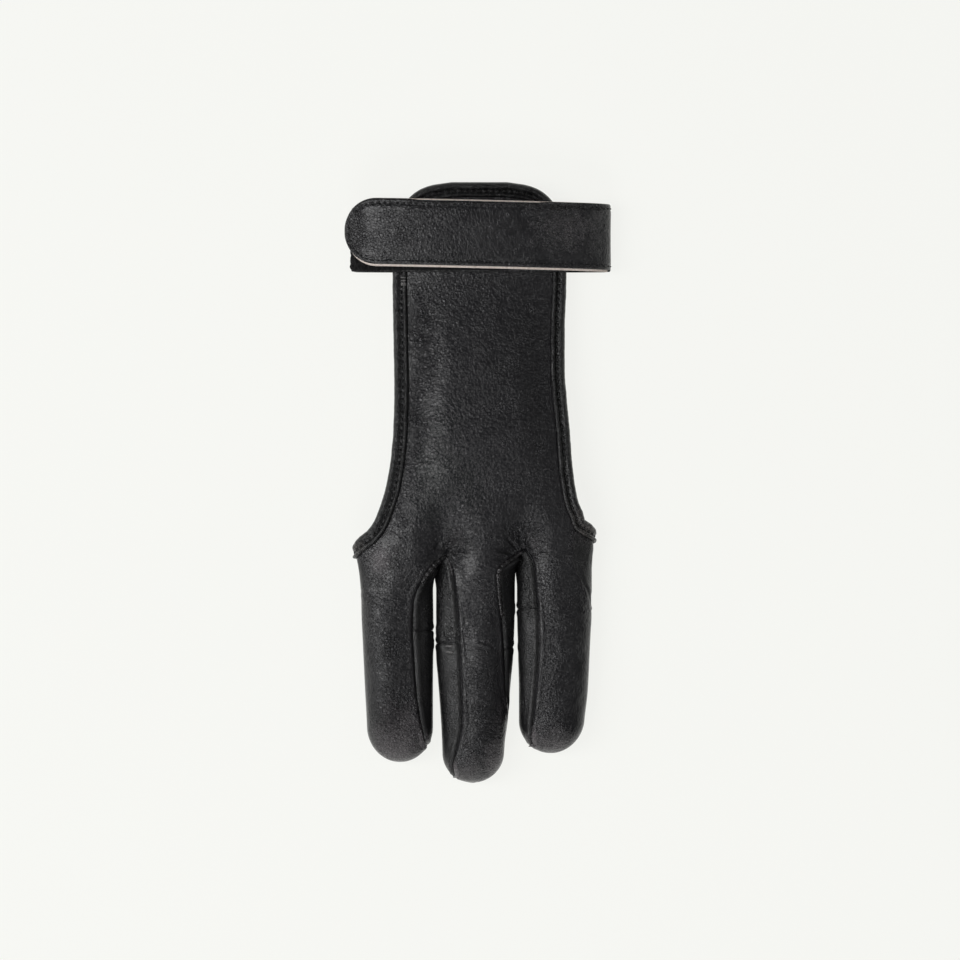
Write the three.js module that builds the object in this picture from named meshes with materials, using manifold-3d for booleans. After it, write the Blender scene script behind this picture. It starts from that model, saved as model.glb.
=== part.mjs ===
// A three-finger archery glove of black leather, in millimetres, lying palm down with its strap closed.
// +Z is up, +Y runs from the fingertips to the wrist, and +X is to the right as seen from above.
// The pieces are drawn from the crotch line, where the fingers part, and moved over the origin at the end.
import * as THREE from "three";
import Module from "manifold-3d";

const wasm = await Module();
wasm.setup();

// Leather and clearances
const leather = 1.2;
const seamGap = 0.3;
const seamSpace = 0.5;
const bindingLeather = 0.8;
const bindingTopLeg = 4;
const bindingUnderLeg = 3.2;
const palmLegs = 0.62;
const bindingSpace = 0.42;
const bindingReach = bindingSpace + bindingLeather;

// Hand: from the crotch line to the end of the wrist tab's leather
const handLength = 133.2;
const waistWidth = 59;
const tabEndWidth = 20;
const knuckleHeight = 18;
const valleyDepth = 4.2;
const valleyWidth = 7;
const handBlend = 24;

// Fingers: axis is the place across the hand, counted from the middle finger
const fingerHeight = 15;
const tipHeight = 4.6;
const sideSeamAngle = -35;
const fingers = {
  ring: {
    axis: -28.6,
    width: 26.6,
    length: 74.3,
    capLength: 12.6,
    under: { columns: 9, rightWall: 4, leftWall: 2 },
    padSeam: { right: 0.355, left: 0.37 },
    outline: [
      { at: 0, left: -0.54, right: 0.5 },
      { at: 0.087, left: -0.5, right: 0.5 },
      { at: 0.358, left: -0.46, right: 0.507 },
      { at: 0.65, left: -0.42, right: 0.5 },
      { at: 0.82, left: -0.395, right: 0.5 },
      { at: 1, left: -0.38, right: 0.49 },
    ],
    leftSeam: {
      seen: [],
      hidden: [
        { at: 0, angle: sideSeamAngle },
        { at: 0.84, angle: sideSeamAngle },
        { at: 0.91, angle: -55 },
        { at: 0.945, angle: -90 },
      ],
    },
    rightSeam: {
      seen: [
        { at: 0, across: 0.676 },
        { at: 0.029, across: 0.56 },
        { at: 0.058, across: 0.486 },
        { at: 0.087, across: 0.426 },
        { at: 0.136, across: 0.338 },
        { at: 0.184, across: 0.275 },
        { at: 0.242, across: 0.24 },
        { at: 0.36, across: 0.23 },
        { at: 0.475, across: 0.25 },
        { at: 0.654, across: 0.284 },
        { at: 0.75, across: 0.319 },
        { at: 0.852, across: 0.374 },
        { at: 0.9, across: 0.4 },
      ],
      hidden: [
        { at: 0.918, angle: 0 },
        { at: 0.932, angle: -45 },
        { at: 0.945, angle: -90 },
      ],
    },
  },
  middle: {
    axis: 0,
    width: 28.4,
    length: 81.7,
    capLength: 10.4,
    under: { columns: 12, rightWall: 4, leftWall: 4 },
    padSeam: { right: 0.405, left: 0.378 },
    outline: [
      { at: -0.03, left: -0.5, right: 0.5 },
      { at: 0.194, left: -0.5, right: 0.5 },
      { at: 0.432, left: -0.5, right: 0.48 },
      { at: 0.546, left: -0.475, right: 0.45 },
      { at: 0.696, left: -0.443, right: 0.411 },
      { at: 0.819, left: -0.424, right: 0.373 },
      { at: 1, left: -0.41, right: 0.34 },
    ],
    leftSeam: {
      seen: [
        { at: 0, across: -0.373 },
        { at: 0.031, across: -0.329 },
        { at: 0.062, across: -0.303 },
        { at: 0.154, across: -0.259 },
        { at: 0.233, across: -0.234 },
        { at: 0.352, across: -0.213 },
        { at: 0.432, across: -0.196 },
        { at: 0.634, across: -0.177 },
        { at: 0.731, across: -0.171 },
        { at: 0.802, across: -0.204 },
        { at: 0.863, across: -0.256 },
        { at: 0.92, across: -0.295 },
      ],
      hidden: [
        { at: 0.937, angle: 0 },
        { at: 0.948, angle: -45 },
        { at: 0.96, angle: -90 },
      ],
    },
    rightSeam: {
      seen: [
        { at: -0.026, across: 0.614 },
        { at: -0.009, across: 0.551 },
        { at: 0.009, across: 0.475 },
        { at: 0.031, across: 0.386 },
        { at: 0.053, across: 0.316 },
        { at: 0.084, across: 0.285 },
        { at: 0.15, across: 0.294 },
        { at: 0.29, across: 0.339 },
        { at: 0.38, across: 0.36 },
        { at: 0.505, across: 0.377 },
        { at: 0.595, across: 0.385 },
      ],
      hidden: [
        { at: 0.7, angle: 0 },
        { at: 0.82, angle: -30 },
        { at: 0.93, angle: -55 },
        { at: 0.96, angle: -90 },
      ],
    },
  },
  index: {
    axis: 28.4,
    width: 27,
    length: 71.1,
    capLength: 11.6,
    under: { columns: 12, rightWall: 4, leftWall: 4 },
    padSeam: { right: 0.285, left: 0.262 },
    outline: [
      { at: -0.03, left: -0.5, right: 0.52 },
      { at: 0, left: -0.5, right: 0.51 },
      { at: 0.06, left: -0.5, right: 0.5 },
      { at: 0.223, left: -0.5, right: 0.5 },
      { at: 0.476, left: -0.487, right: 0.473 },
      { at: 0.678, left: -0.473, right: 0.447 },
      { at: 0.82, left: -0.473, right: 0.405 },
      { at: 1, left: -0.46, right: 0.36 },
    ],
    leftSeam: {
      seen: [
        { at: -0.03, across: -0.407 },
        { at: -0.012, across: -0.345 },
        { at: 0.05, across: -0.28 },
        { at: 0.127, across: -0.262 },
        { at: 0.231, across: -0.233 },
        { at: 0.284, across: -0.22 },
        { at: 0.435, across: -0.212 },
        { at: 0.58, across: -0.233 },
        { at: 0.684, across: -0.255 },
        { at: 0.785, across: -0.281 },
        { at: 0.891, across: -0.316 },
        { at: 0.92, across: -0.325 },
      ],
      hidden: [
        { at: 0.937, angle: 0 },
        { at: 0.948, angle: -45 },
        { at: 0.96, angle: -90 },
      ],
    },
    rightSeam: {
      seen: [
        { at: -0.222, across: 0.356 },
        { at: -0.18, across: 0.315 },
        { at: -0.142, across: 0.289 },
        { at: 0, across: 0.265 },
        { at: 0.06, across: 0.29 },
        { at: 0.12, across: 0.37 },
        { at: 0.18, across: 0.45 },
      ],
      hidden: [
        { at: 0.26, angle: 2 },
        { at: 0.36, angle: -20 },
        { at: 0.5, angle: sideSeamAngle },
        { at: 0.84, angle: sideSeamAngle },
        { at: 0.92, angle: -55 },
        { at: 0.96, angle: -90 },
      ],
    },
  },
};
const { ring, middle, index } = fingers;

// Crotches between the fingers: the back leather parts at backPlace, the gussets meet below it.
// Each crotch lies ahead of the crotch line, towards the fingertips, at a share of the knuckle height.
const crotches = {
  left: {
    backPlace: 0,
    lobeEnd: -10,
    saddle: { ahead: 5.2, height: 0.45 },
    palm: { ahead: 4.2, height: 0.09 },
  },
  right: {
    backPlace: 2.12,
    lobeEnd: 11,
    saddle: { ahead: 3.8, height: 0.45 },
    palm: { ahead: 4.2, height: 0.09 },
  },
};
const fingerStart = -crotches.left.palm.ahead;

// Hand sections: spread runs from 0 at the waist to 1 at the knuckles, heights are shares of the crown
const handSections = [
  { at: 0, spread: 1, crown: 1, waist: 0.47, floor: 0.05 },
  { at: 0.03, spread: 1, crown: 1, waist: 0.47, floor: 0.067 },
  { at: 0.06, spread: 0.97, crown: 0.99, waist: 0.48, floor: 0.07 },
  { at: 0.1, spread: 0.88, crown: 0.985, waist: 0.49, floor: 0.07 },
  { at: 0.145, spread: 0.76, crown: 0.97, waist: 0.5, floor: 0.07 },
  { at: 0.19, spread: 0.64, crown: 0.955, waist: 0.5, floor: 0.07 },
  { at: 0.25, spread: 0.5, crown: 0.93, waist: 0.5, floor: 0.07 },
  { at: 0.34, spread: 0.38, crown: 0.87, waist: 0.48, floor: 0.07 },
  { at: 0.45, spread: 0.33, crown: 0.78, waist: 0.45, floor: 0.07 },
  { at: 0.6, spread: 0.33, crown: 0.68, waist: 0.42, floor: 0.07 },
  { at: 0.745, spread: 0.34, crown: 0.622, waist: 0.4, floor: 0.07 },
  { at: 1, spread: 0.34, crown: 0.62, waist: 0.4, floor: 0.07 },
];

// Edges of the back panel: flare runs from 0 at the waist to 1 at the knuckles
const panelEdges = {
  left: [
    { at: 0.06, flare: 0.69 },
    { at: 0.08, flare: 0.545 },
    { at: 0.102, flare: 0.44 },
    { at: 0.145, flare: 0.3 },
    { at: 0.188, flare: 0.19 },
    { at: 0.252, flare: 0.09 },
    { at: 0.338, flare: 0.02 },
    { at: 0.445, flare: -0.005 },
    { at: 0.55, flare: 0.01 },
    { at: 0.745, flare: 0.04 },
    { at: 0.86, flare: 0.03 },
  ],
  right: [
    { at: 0.1185, flare: 0.56 },
    { at: 0.123, flare: 0.53 },
    { at: 0.145, flare: 0.43 },
    { at: 0.188, flare: 0.325 },
    { at: 0.252, flare: 0.23 },
    { at: 0.338, flare: 0.16 },
    { at: 0.424, flare: 0.065 },
    { at: 0.509, flare: 0.005 },
    { at: 0.617, flare: 0.01 },
    { at: 0.745, flare: 0.06 },
    { at: 0.86, flare: 0.03 },
  ],
};
const panelMiddle = 1.4;

// Past its lowest row the left edge turns round the side of the glove to the side seam
const leftCorner = 0.0095;
const cornerTurn = [
  { at: 0, share: 1 },
  { at: 0.4, share: 0.55 },
  { at: 0.75, share: 0 },
  { at: 1, share: -1 },
];

// The wrist tab is rounded off: narrow is the share of its width that is gone
const tabRounding = [
  { at: 0.86, narrow: 0 },
  { at: 0.93, narrow: 0.13 },
  { at: 0.96, narrow: 0.27 },
  { at: 0.98, narrow: 0.44 },
  { at: 0.992, narrow: 0.65 },
  { at: 1, narrow: 1 },
];

// Palm rim, by its angle round the hand: from the left side seam, under the palm, up to the right panel edge
const palmRim = [
  { angle: -145, at: 0.0095 },
  { angle: -136, at: 0.022 },
  { angle: -120, at: 0.042 },
  { angle: -95, at: 0.057 },
  { angle: -70, at: 0.06 },
  { angle: -45, at: 0.055 },
  { angle: -30, at: 0.053 },
  { angle: -12, at: 0.058 },
  { angle: 3, at: 0.07 },
  { angle: 18, at: 0.086 },
  { angle: 34, at: 0.106 },
  { angle: 42, at: 0.1185 },
];

// Wrist strap, of an outer leather and a backing. It starts on top of the panel at startPlace, goes
// left, under the wrist, up on the right and back over the top; its rounded end passes the left fold.
const strap = {
  width: 24.5,
  fromTabEnd: 18.7,
  outer: 1,
  backing: 0.8,
  startPlace: 33,
  flapEnd: -47.3,
  flapRise: 2.2,
  leftFold: -44.5,
  rightFold: 48.8,
  foldHeight: 5.4,
  aboveWrist: 1.35,
  flapSlack: 0.25,
  flapSpread: -52,
  flat: 0.6,
  rawEdge: 0.5,
};
const tape = { thickness: 1, left: -37, right: 12, setIn: 1.5 };
const strapPlace = handLength - strap.fromTabEnd;
const strapThickness = strap.outer + seamGap + strap.backing;
const wristTop = knuckleHeight * handSections.at(-1).crown;
const innerTop = wristTop + strap.aboveWrist + strapThickness;
const flapTop = innerTop + seamGap + tape.thickness + seamGap + strap.flapSlack + strapThickness;

const topPower = 2.5;
const bottomPower = 3.2;
const radians = Math.PI / 180;
const tiny = 1e-6;

// Curves through the rows of a table, without overshoot
function follow(rows, key, column, value) {
  if (value <= rows[0][key]) return rows[0][column];
  const last = rows.length - 1;
  if (value >= rows[last][key]) return rows[last][column];
  const slope = (i) => (rows[i + 1][column] - rows[i][column]) / (rows[i + 1][key] - rows[i][key]);
  const tangent = (i) => {
    if (i === 0 || i === last) return slope(Math.min(i, last - 1));
    const before = slope(i - 1);
    const after = slope(i);
    return before * after <= 0 ? 0 : (2 * before * after) / (before + after);
  };
  const i = rows.findLastIndex((row) => row[key] <= value);
  const step = rows[i + 1][key] - rows[i][key];
  const t = (value - rows[i][key]) / step;
  const left = (1 - t) ** 2;
  return (
    (1 + 2 * t) * left * rows[i][column] +
    t * left * step * tangent(i) +
    t * t * (3 - 2 * t) * rows[i + 1][column] +
    t * t * (t - 1) * step * tangent(i + 1)
  );
}

const mix = (a, b, t) => a + (b - a) * t;
const clamp01 = (t) => Math.min(1, Math.max(0, t));
const smooth = (t) => clamp01(t) ** 2 * (3 - 2 * clamp01(t));
const oneBeyond = (count) => Array.from({ length: count + 3 }, (_, i) => i - 1);

// A point on a rounded section: angle 0 is its right side, 90 the top, 180 the left and -90 the bottom
function onSection(section, angle) {
  const across = Math.cos(angle * radians);
  const up = Math.sin(angle * radians);
  const power = up >= 0 ? topPower : bottomPower;
  const height = up >= 0 ? section.top - section.waist : section.waist - section.bottom;
  return {
    x: section.middle + section.half * Math.sign(across) * Math.abs(across) ** (2 / power),
    z: section.waist + height * Math.sign(up) * Math.abs(up) ** (2 / power),
  };
}

// The angle at which the top, or the bottom, of a section has this x
function angleAtX(section, x, power = topPower) {
  const share = Math.min(1, Math.max(-1, (x - section.middle) / section.half));
  const angle = Math.acos(Math.sign(share) * Math.abs(share) ** (power / 2)) / radians;
  return power === topPower ? angle : -angle;
}

// Moves an angle along its section by a distance, upwards on the right where the distance is positive
function movedAngle(section, angle, distance) {
  const before = onSection(section, angle - 1);
  const after = onSection(section, angle + 1);
  return angle + (2 * distance) / Math.hypot(after.x - before.x, after.z - before.z);
}

function fingerSection(finger, y) {
  const at = -y / finger.length;
  const left = finger.axis + finger.width * follow(finger.outline, "at", "left", at);
  const right = finger.axis + finger.width * follow(finger.outline, "at", "right", at);
  const intoCap = clamp01((finger.capLength - finger.length - y) / finger.capLength);
  const open = Math.sqrt(1 - intoCap * intoCap);
  return {
    middle: (left + right) / 2,
    half: ((right - left) / 2) * open,
    waist: mix(tipHeight, fingerHeight / 2, open),
    top: mix(tipHeight, fingerHeight, open),
    bottom: mix(tipHeight, 0, open),
  };
}

const knuckleLeft = ring.axis + ring.width * ring.outline[0].left;
const knuckleRight = index.axis + index.width * index.outline[0].right;

function handSection(y) {
  const at = Math.max(0, y / handLength);
  const spread = follow(handSections, "at", "spread", at);
  const leftmost = ring.axis + ring.width * follow(ring.outline, "at", "left", -y / ring.length);
  const rightmost = index.axis + index.width * follow(index.outline, "at", "right", -y / index.length);
  const left = mix(panelMiddle - waistWidth / 2, leftmost, spread);
  const right = mix(panelMiddle + waistWidth / 2, rightmost, spread);
  const crown = knuckleHeight * follow(handSections, "at", "crown", at);
  return {
    middle: (left + right) / 2,
    half: (right - left) / 2,
    waist: crown * follow(handSections, "at", "waist", at),
    top: crown,
    bottom: crown * follow(handSections, "at", "floor", at),
  };
}

// Angle above the silhouette on either side, from an angle round the section, and back again
const fromSide = (side, angle) => (side === "left" ? 180 - angle : angle);

// Plan position of a finger's seam, where it shows from above
function seenSeamX(finger, seam, y) {
  return finger.axis + finger.width * follow(seam.seen, "at", "across", -y / finger.length);
}

// Angle of a finger's seam above its silhouette
function seamAngle(finger, side, y) {
  const seam = side === "left" ? finger.leftSeam : finger.rightSeam;
  const at = -y / finger.length;
  if (seam.seen.length === 0) return follow(seam.hidden, "at", "angle", at);
  const lastSeen = seam.seen.at(-1).at;
  const seenY = Math.max(y, -lastSeen * finger.length);
  const angle = fromSide(side, angleAtX(fingerSection(finger, seenY), seenSeamX(finger, seam, seenY)));
  return at <= lastSeen ? angle : follow([{ at: lastSeen, angle }, ...seam.hidden], "at", "angle", at);
}

// Lines down the hand on either side of the middle finger's share of the back
function lobeX(side, y) {
  const crotch = crotches[side];
  const meeting = seenSeamX(middle, middle[`${side}Seam`], crotch.backPlace);
  return mix(meeting, crotch.lobeEnd, smooth((y - crotch.backPlace) / (handLength / 2)));
}

// Angle of the panel's free edge above the silhouette, and of the edge down to the palm's corner
const edgeStart = { left: panelEdges.left[0].at, right: panelEdges.right[0].at };
function freeEdgeAngle(side, at) {
  const corner = side === "left" ? panelMiddle - knuckleLeft : knuckleRight - panelMiddle;
  const flat = mix(waistWidth / 2, corner, follow(panelEdges[side], "at", "flare", at));
  const half = mix(flat, tabEndWidth / 2, follow(tabRounding, "at", "narrow", at));
  const x = panelMiddle + (side === "left" ? -half : half);
  return fromSide(side, angleAtX(handSection(at * handLength), x));
}

function panelEdgeAngle(side, y) {
  const at = y / handLength;
  if (at >= edgeStart[side]) return freeEdgeAngle(side, at);
  const start = freeEdgeAngle(side, edgeStart[side]);
  const share = follow(cornerTurn, "at", "share", (edgeStart.left - at) / (edgeStart.left - leftCorner));
  return share >= 0 ? start * share : -sideSeamAngle * share;
}

// The back sinks a little between the fingers
function valley(x, y) {
  const sinks = Object.keys(crotches).map((side) => {
    const away = (x - lobeX(side, crotches[side].backPlace)) / valleyWidth;
    return valleyDepth * (1 - smooth(y / handBlend)) * Math.exp(-away * away);
  });
  return sinks[0] + sinks[1];
}

function handPoint(y, angle) {
  const section = handSection(y);
  const point = onSection(section, angle);
  const above = smooth((point.z - section.waist) / (section.top - section.waist));
  return new THREE.Vector3(point.x, y, point.z - valley(point.x, y) * above);
}

function fingerPoint(finger, y, angle) {
  const point = onSection(fingerSection(finger, y), angle);
  return new THREE.Vector3(point.x, y, point.z);
}

// Edges of a finger's share of the back, as angles round the hand
function handAngles(finger, y) {
  const section = handSection(y);
  const between = (side, seam) => {
    return angleAtX(section, y >= crotches[side].backPlace ? lobeX(side, y) : seenSeamX(finger, seam, y));
  };
  const outerRight = () => {
    if (y / handLength >= edgeStart.right - tiny) return freeEdgeAngle("right", y / handLength);
    return angleAtX(section, seenSeamX(index, index.rightSeam, y));
  };
  if (finger === ring) {
    return { left: 180 - panelEdgeAngle("left", y), right: between("left", ring.rightSeam) };
  }
  if (finger === index) return { left: between("right", index.leftSeam), right: outerRight() };
  return { left: between("left", middle.leftSeam), right: between("right", middle.rightSeam) };
}

// A point of the back; share runs from the left edge of a finger's part of it to the right edge
function backPoint(finger, y, share) {
  const stillHand = smooth((y + handBlend) / (handBlend + fingerStart));
  const angles = stillHand > 0 ? handAngles(finger, y) : { left: 0, right: 0 };
  if (stillHand === 1) return handPoint(y, mix(angles.left, angles.right, share));
  const left = 180 - seamAngle(finger, "left", y);
  const point = fingerPoint(finger, y, mix(left, seamAngle(finger, "right", y), share));
  return stillHand === 0 ? point : point.lerp(handPoint(y, mix(angles.left, angles.right, share)), stillHand);
}

// A surface is a list of points and triangles that face out of the glove; equal points are one point.
// The triangles beyond its side edges only say which way it faces there.
function newSurface() {
  return { points: [], triangles: [], beyond: [], places: new Map() };
}

function addPoint(surface, point) {
  const place = [point.x, point.y, point.z].map((value) => Math.round(value * 500)).join();
  if (!surface.places.has(place)) {
    surface.places.set(place, surface.points.length);
    surface.points.push(point);
  }
  return surface.places.get(place);
}

// Adds rows of points; the first and last point of each row lie just beyond the surface's edges
function addGrid(surface, rows) {
  const grid = rows.map((row) => row.map((point) => addPoint(surface, point)));
  for (let i = 0; i + 1 < grid.length; i++) {
    for (let j = 0; j + 1 < grid[i].length; j++) {
      const [a, b, c, d] = [grid[i][j], grid[i + 1][j], grid[i + 1][j + 1], grid[i][j + 1]];
      const list = j === 0 || j + 2 === grid[i].length ? surface.beyond : surface.triangles;
      if (a !== b && b !== c && a !== c) list.push([a, b, c]);
      if (a !== c && c !== d && a !== d) list.push([a, c, d]);
    }
  }
}

// Gives a surface its thickness, inwards, and closes its edges
function thicken(surface, thickness) {
  const normals = surface.points.map(() => new THREE.Vector3());
  for (const [a, b, c] of [...surface.triangles, ...surface.beyond]) {
    const ab = surface.points[b].clone().sub(surface.points[a]);
    const ac = surface.points[c].clone().sub(surface.points[a]);
    const face = ab.cross(ac);
    for (const i of [a, b, c]) normals[i].add(face);
  }
  const used = [...new Set(surface.triangles.flat())];
  const count = used.length;
  const number = new Map(used.map((place, i) => [place, i]));
  const outer = used.map((i) => surface.points[i]);
  const inner = used.map((i) => {
    return surface.points[i].clone().addScaledVector(normals[i].normalize(), -thickness);
  });
  const facing = surface.triangles.map((triangle) => triangle.map((i) => number.get(i)));
  const triangles = facing.flatMap(([a, b, c]) => [
    [a, b, c],
    [a + count, c + count, b + count],
  ]);
  const edges = new Set(facing.flatMap(([a, b, c]) => [`${a},${b}`, `${b},${c}`, `${c},${a}`]));
  for (const edge of edges) {
    const [a, b] = edge.split(",").map(Number);
    if (edges.has(`${b},${a}`)) continue;
    triangles.push([a, a + count, b + count], [a, b + count, b]);
  }
  return geometryOf([...outer, ...inner], triangles);
}

function geometryOf(points, triangles) {
  const geometry = new THREE.BufferGeometry();
  const numbers = points.flatMap((point) => [point.x, point.y, point.z]);
  geometry.setAttribute("position", new THREE.Float32BufferAttribute(numbers, 3));
  geometry.setIndex(triangles.flat());
  return geometry;
}

// Places of the rows of points, as shares of the hand and of a finger
const tabRows = [1, 0.992, 0.98, 0.96, 0.93, 0.86];
const handRows = [...tabRows, 0.745, 0.62, 0.5, 0.4, 0.32, 0.25, 0.19, 0.15, edgeStart.right];
const cornerRows = [0.102, 0.088, 0.076, edgeStart.left, 0.05, 0.041, 0.033, 0.025, 0.0205];
const crotchRow = crotches.right.backPlace / handLength;
const edgeRows = [...handRows, ...cornerRows, crotchRow, 0.0125, leftCorner];
const fingerRows = [0.03, 0.06, 0.1, 0.14, 0.18, 0.23, 0.28, 0.34, 0.42, 0.51, 0.61, 0.71, 0.79, 0.85, 0.88];
const backColumns = 8;

const seamsMeet = (finger) => finger.rightSeam.hidden.at(-1).at;

function tipRows(finger) {
  const closed = seamsMeet(finger);
  const turning = [0, 0.22, 0.42, 0.62, 0.82, 1].map((share) => mix(0.9, closed, share));
  return [...turning, mix(closed, 1, 0.45), mix(closed, 1, 0.82), 1];
}

// The back: the hand's panel and the backs of the fingers, in one piece of leather
function backSurface() {
  const surface = newSurface();
  const handPlaces = edgeRows.map((at) => at * handLength);
  for (const finger of Object.values(fingers)) {
    const fingerPlaces = [...fingerRows, ...tipRows(finger)].map((at) => -at * finger.length);
    const places = [...handPlaces, crotches.left.backPlace, ...fingerPlaces];
    addGrid(
      surface,
      places.map((y) => oneBeyond(backColumns).map((column) => backPoint(finger, y, column / backColumns))),
    );
  }
  return surface;
}

// The line in which the gussets of two fingers meet, from the back leather down to the palm
function crotchCurve(side) {
  const { backPlace, saddle, palm } = crotches[side];
  const [leftFinger, rightFinger] = side === "left" ? [ring, middle] : [middle, index];
  const between = ({ ahead, height }) => {
    const left = fingerPoint(leftFinger, -ahead, 0);
    const right = fingerPoint(rightFinger, -ahead, 180);
    return new THREE.Vector3((left.x + right.x) / 2, -ahead, height * knuckleHeight);
  };
  const start = handPoint(backPlace, angleAtX(handSection(backPlace), lobeX(side, backPlace)));
  return new THREE.CatmullRomCurve3([start, between(saddle), between(palm)]);
}

const crotchCurves = { left: crotchCurve("left"), right: crotchCurve("right") };
const crotchInset = 0.12;

// Where a column of the palm side begins, in the crotch or across the palm, and how it leaves there
function crotchPoint(finger, column) {
  const { columns, rightWall, leftWall } = finger.under;
  const onRight = finger === index ? null : crotchCurves[finger === ring ? "left" : "right"];
  const onLeft = finger === ring ? null : crotchCurves[finger === middle ? "left" : "right"];
  const along = (share) => Math.max(0, mix(crotchInset, 1, share));
  if (onRight && column <= rightWall) return onRight.getPoint(along(column / rightWall));
  if (onLeft && columns - column <= leftWall) return onLeft.getPoint(along((columns - column) / leftWall));
  return null;
}

// A point of the finger's palm side and gussets; columns run from its right seam, under it, to its left
function underPoint(finger, y, column) {
  const { columns, rightWall, leftWall } = finger.under;
  const section = fingerSection(finger, y);
  const seam = { right: seamAngle(finger, "right", y), left: -180 - seamAngle(finger, "left", y) };
  const near = [-seamSpace, 0, seamSpace];
  const beside = (side) => Math.min(...near.map((step) => seamAngle(finger, side, y + step)));
  const right = movedAngle(section, beside("right"), -seamSpace);
  const left = movedAngle(section, -180 - beside("left"), seamSpace);
  const point = fingerPoint(finger, y, right > left ? mix(right, left, column / columns) : -90);
  if (y < -handBlend) return point;
  const lift = (share, angle, weight) => {
    const apart = backPoint(finger, y, share).sub(fingerPoint(finger, y, angle));
    point.addScaledVector(apart, Math.max(0, weight));
  };
  lift(1, seam.right, 1 - column / rightWall);
  lift(0, seam.left, 1 - (columns - column) / leftWall);
  return point;
}

const wallFade = 14;
function gussetPoint(finger, share, column) {
  const start = crotchPoint(finger, column);
  const startY = start ? start.y : fingerStart;
  const endShare = mix(finger.padSeam.right, finger.padSeam.left, column / finger.under.columns);
  const y = mix(startY, -endShare * finger.length, share);
  const point = underPoint(finger, y, column);
  if (!start) return point;
  const apart = start.clone().sub(underPoint(finger, startY, column));
  return point.addScaledVector(apart, 1 - smooth((startY - y) / wallFade));
}

// The palm rim's angle and place for each column of the palm band, and the band's points up to it
function rimPoint(angle) {
  return handPoint(follow(palmRim, "angle", "at", angle) * handLength, angle);
}

const rimRight = freeEdgeAngle("right", edgeStart.right);
function bandRows() {
  const columns = [index, middle, ring].flatMap((finger) => {
    const { columns: count, rightWall, leftWall } = finger.under;
    const from = finger === index ? 0 : rightWall + 1;
    const to = finger === ring ? count : count - leftWall;
    return Array.from({ length: to - from + 1 }, (_, i) => ({ finger, column: from + i }));
  });
  return [1, 0.72, 0.45, 0.2, 0].map((share) => {
    return oneBeyond(columns.length - 1).map((i) => {
      const place = columns[Math.min(columns.length - 1, Math.max(0, i))];
      return bandPoint(place, i / (columns.length - 1), share);
    });
  });
}

function bandPoint({ finger, column }, across, share) {
  const start = gussetPoint(finger, 0, column);
  const rimAngle = mix(rimRight, palmRim[0].angle, clamp01(across));
  const y = mix(start.y, follow(palmRim, "angle", "at", rimAngle) * handLength, share);
  const section = handSection(y);
  const seamRight = angleAtX(section, seenSeamX(index, index.rightSeam, y));
  const past = across < 0 || across > 1 ? 5 : -seamSpace;
  if (across <= 0) return handPoint(y, movedAngle(section, seamRight, past));
  if (across >= 1) return handPoint(y, movedAngle(section, palmRim[0].angle, -past));
  const startAngle = bandStartAngle(handSection(start.y), start, finger, column);
  const leave = start.clone().sub(handPoint(start.y, startAngle));
  return handPoint(y, mix(startAngle, rimAngle, share)).addScaledVector(leave, 1 - smooth(share / 0.55));
}

// Angle round the hand of a point where the palm band begins
function bandStartAngle(section, start, finger, column) {
  const turned = finger === index && column < index.under.rightWall;
  if (!turned) return angleAtX(section, start.x, bottomPower);
  const seam = angleAtX(section, seenSeamX(index, index.rightSeam, start.y));
  return mix(seam, -45, column / index.under.rightWall);
}

function palmSurface() {
  const surface = newSurface();
  for (const finger of Object.values(fingers)) {
    const columns = oneBeyond(finger.under.columns);
    const rows = [0, 0.05, 0.12, 0.21, 0.33, 0.47, 0.64, 0.82, 1];
    addGrid(
      surface,
      rows.map((share) => columns.map((column) => gussetPoint(finger, share, column))),
    );
  }
  addGrid(surface, bandRows());
  return surface;
}

// The pad of a fingertip, from the cross seam to the seam under the tip
function padSurface(finger) {
  const surface = newSurface();
  const columns = oneBeyond(finger.under.columns);
  const start = (column) => {
    const across = column / finger.under.columns;
    return mix(finger.padSeam.right, finger.padSeam.left, across) + (1.5 * seamSpace) / finger.length;
  };
  const pointed = seamsMeet(finger) - (1.5 * seamSpace) / finger.length;
  const lowest = Math.max(start(0), start(finger.under.columns)) + 0.015;
  const shares = [...fingerRows, ...tipRows(finger)].filter((at) => at > lowest && at < pointed);
  addGrid(surface, [
    columns.map((column) => underPoint(finger, -start(column) * finger.length, column)),
    ...shares.map((at) => columns.map((column) => underPoint(finger, -at * finger.length, column))),
    columns.map(() => fingerPoint(finger, -pointed * finger.length, -90)),
  ]);
  return surface;
}

// The opening's edge, as it runs from the left corner up the panel, round the tab, down to the right
// corner and back across the palm
function openingEdge() {
  const heights = edgeRows.map((at) => at * handLength);
  const left = heights.map((y) => ({ y, angle: 180 - panelEdgeAngle("left", y) })).reverse();
  const above = heights.filter((y) => y / handLength >= edgeStart.right - tiny);
  const right = above.map((y) => ({ y, angle: panelEdgeAngle("right", y) }));
  const tabEnd = [0.15, 0.35, 0.5, 0.65, 0.85].map((share) => {
    return { y: handLength, angle: mix(left.at(-1).angle, right[0].angle, share) };
  });
  const rimShares = [0.05, 0.11, 0.18, 0.25, 0.33, 0.42, 0.52, 0.62, 0.72, 0.81, 0.89, 0.95];
  const rim = rimShares.map((share) => {
    const angle = mix(rimRight, palmRim[0].angle, share);
    return { y: follow(palmRim, "angle", "at", angle) * handLength, angle };
  });
  const legs = (angle) => mix(palmLegs, 1, smooth(clamp01((Math.min(angle, 180 - angle) + 40) / 55)));
  return [...left, ...tabEnd, ...right, ...rim].map((place) => ({ ...place, legs: legs(place.angle) }));
}

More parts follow.
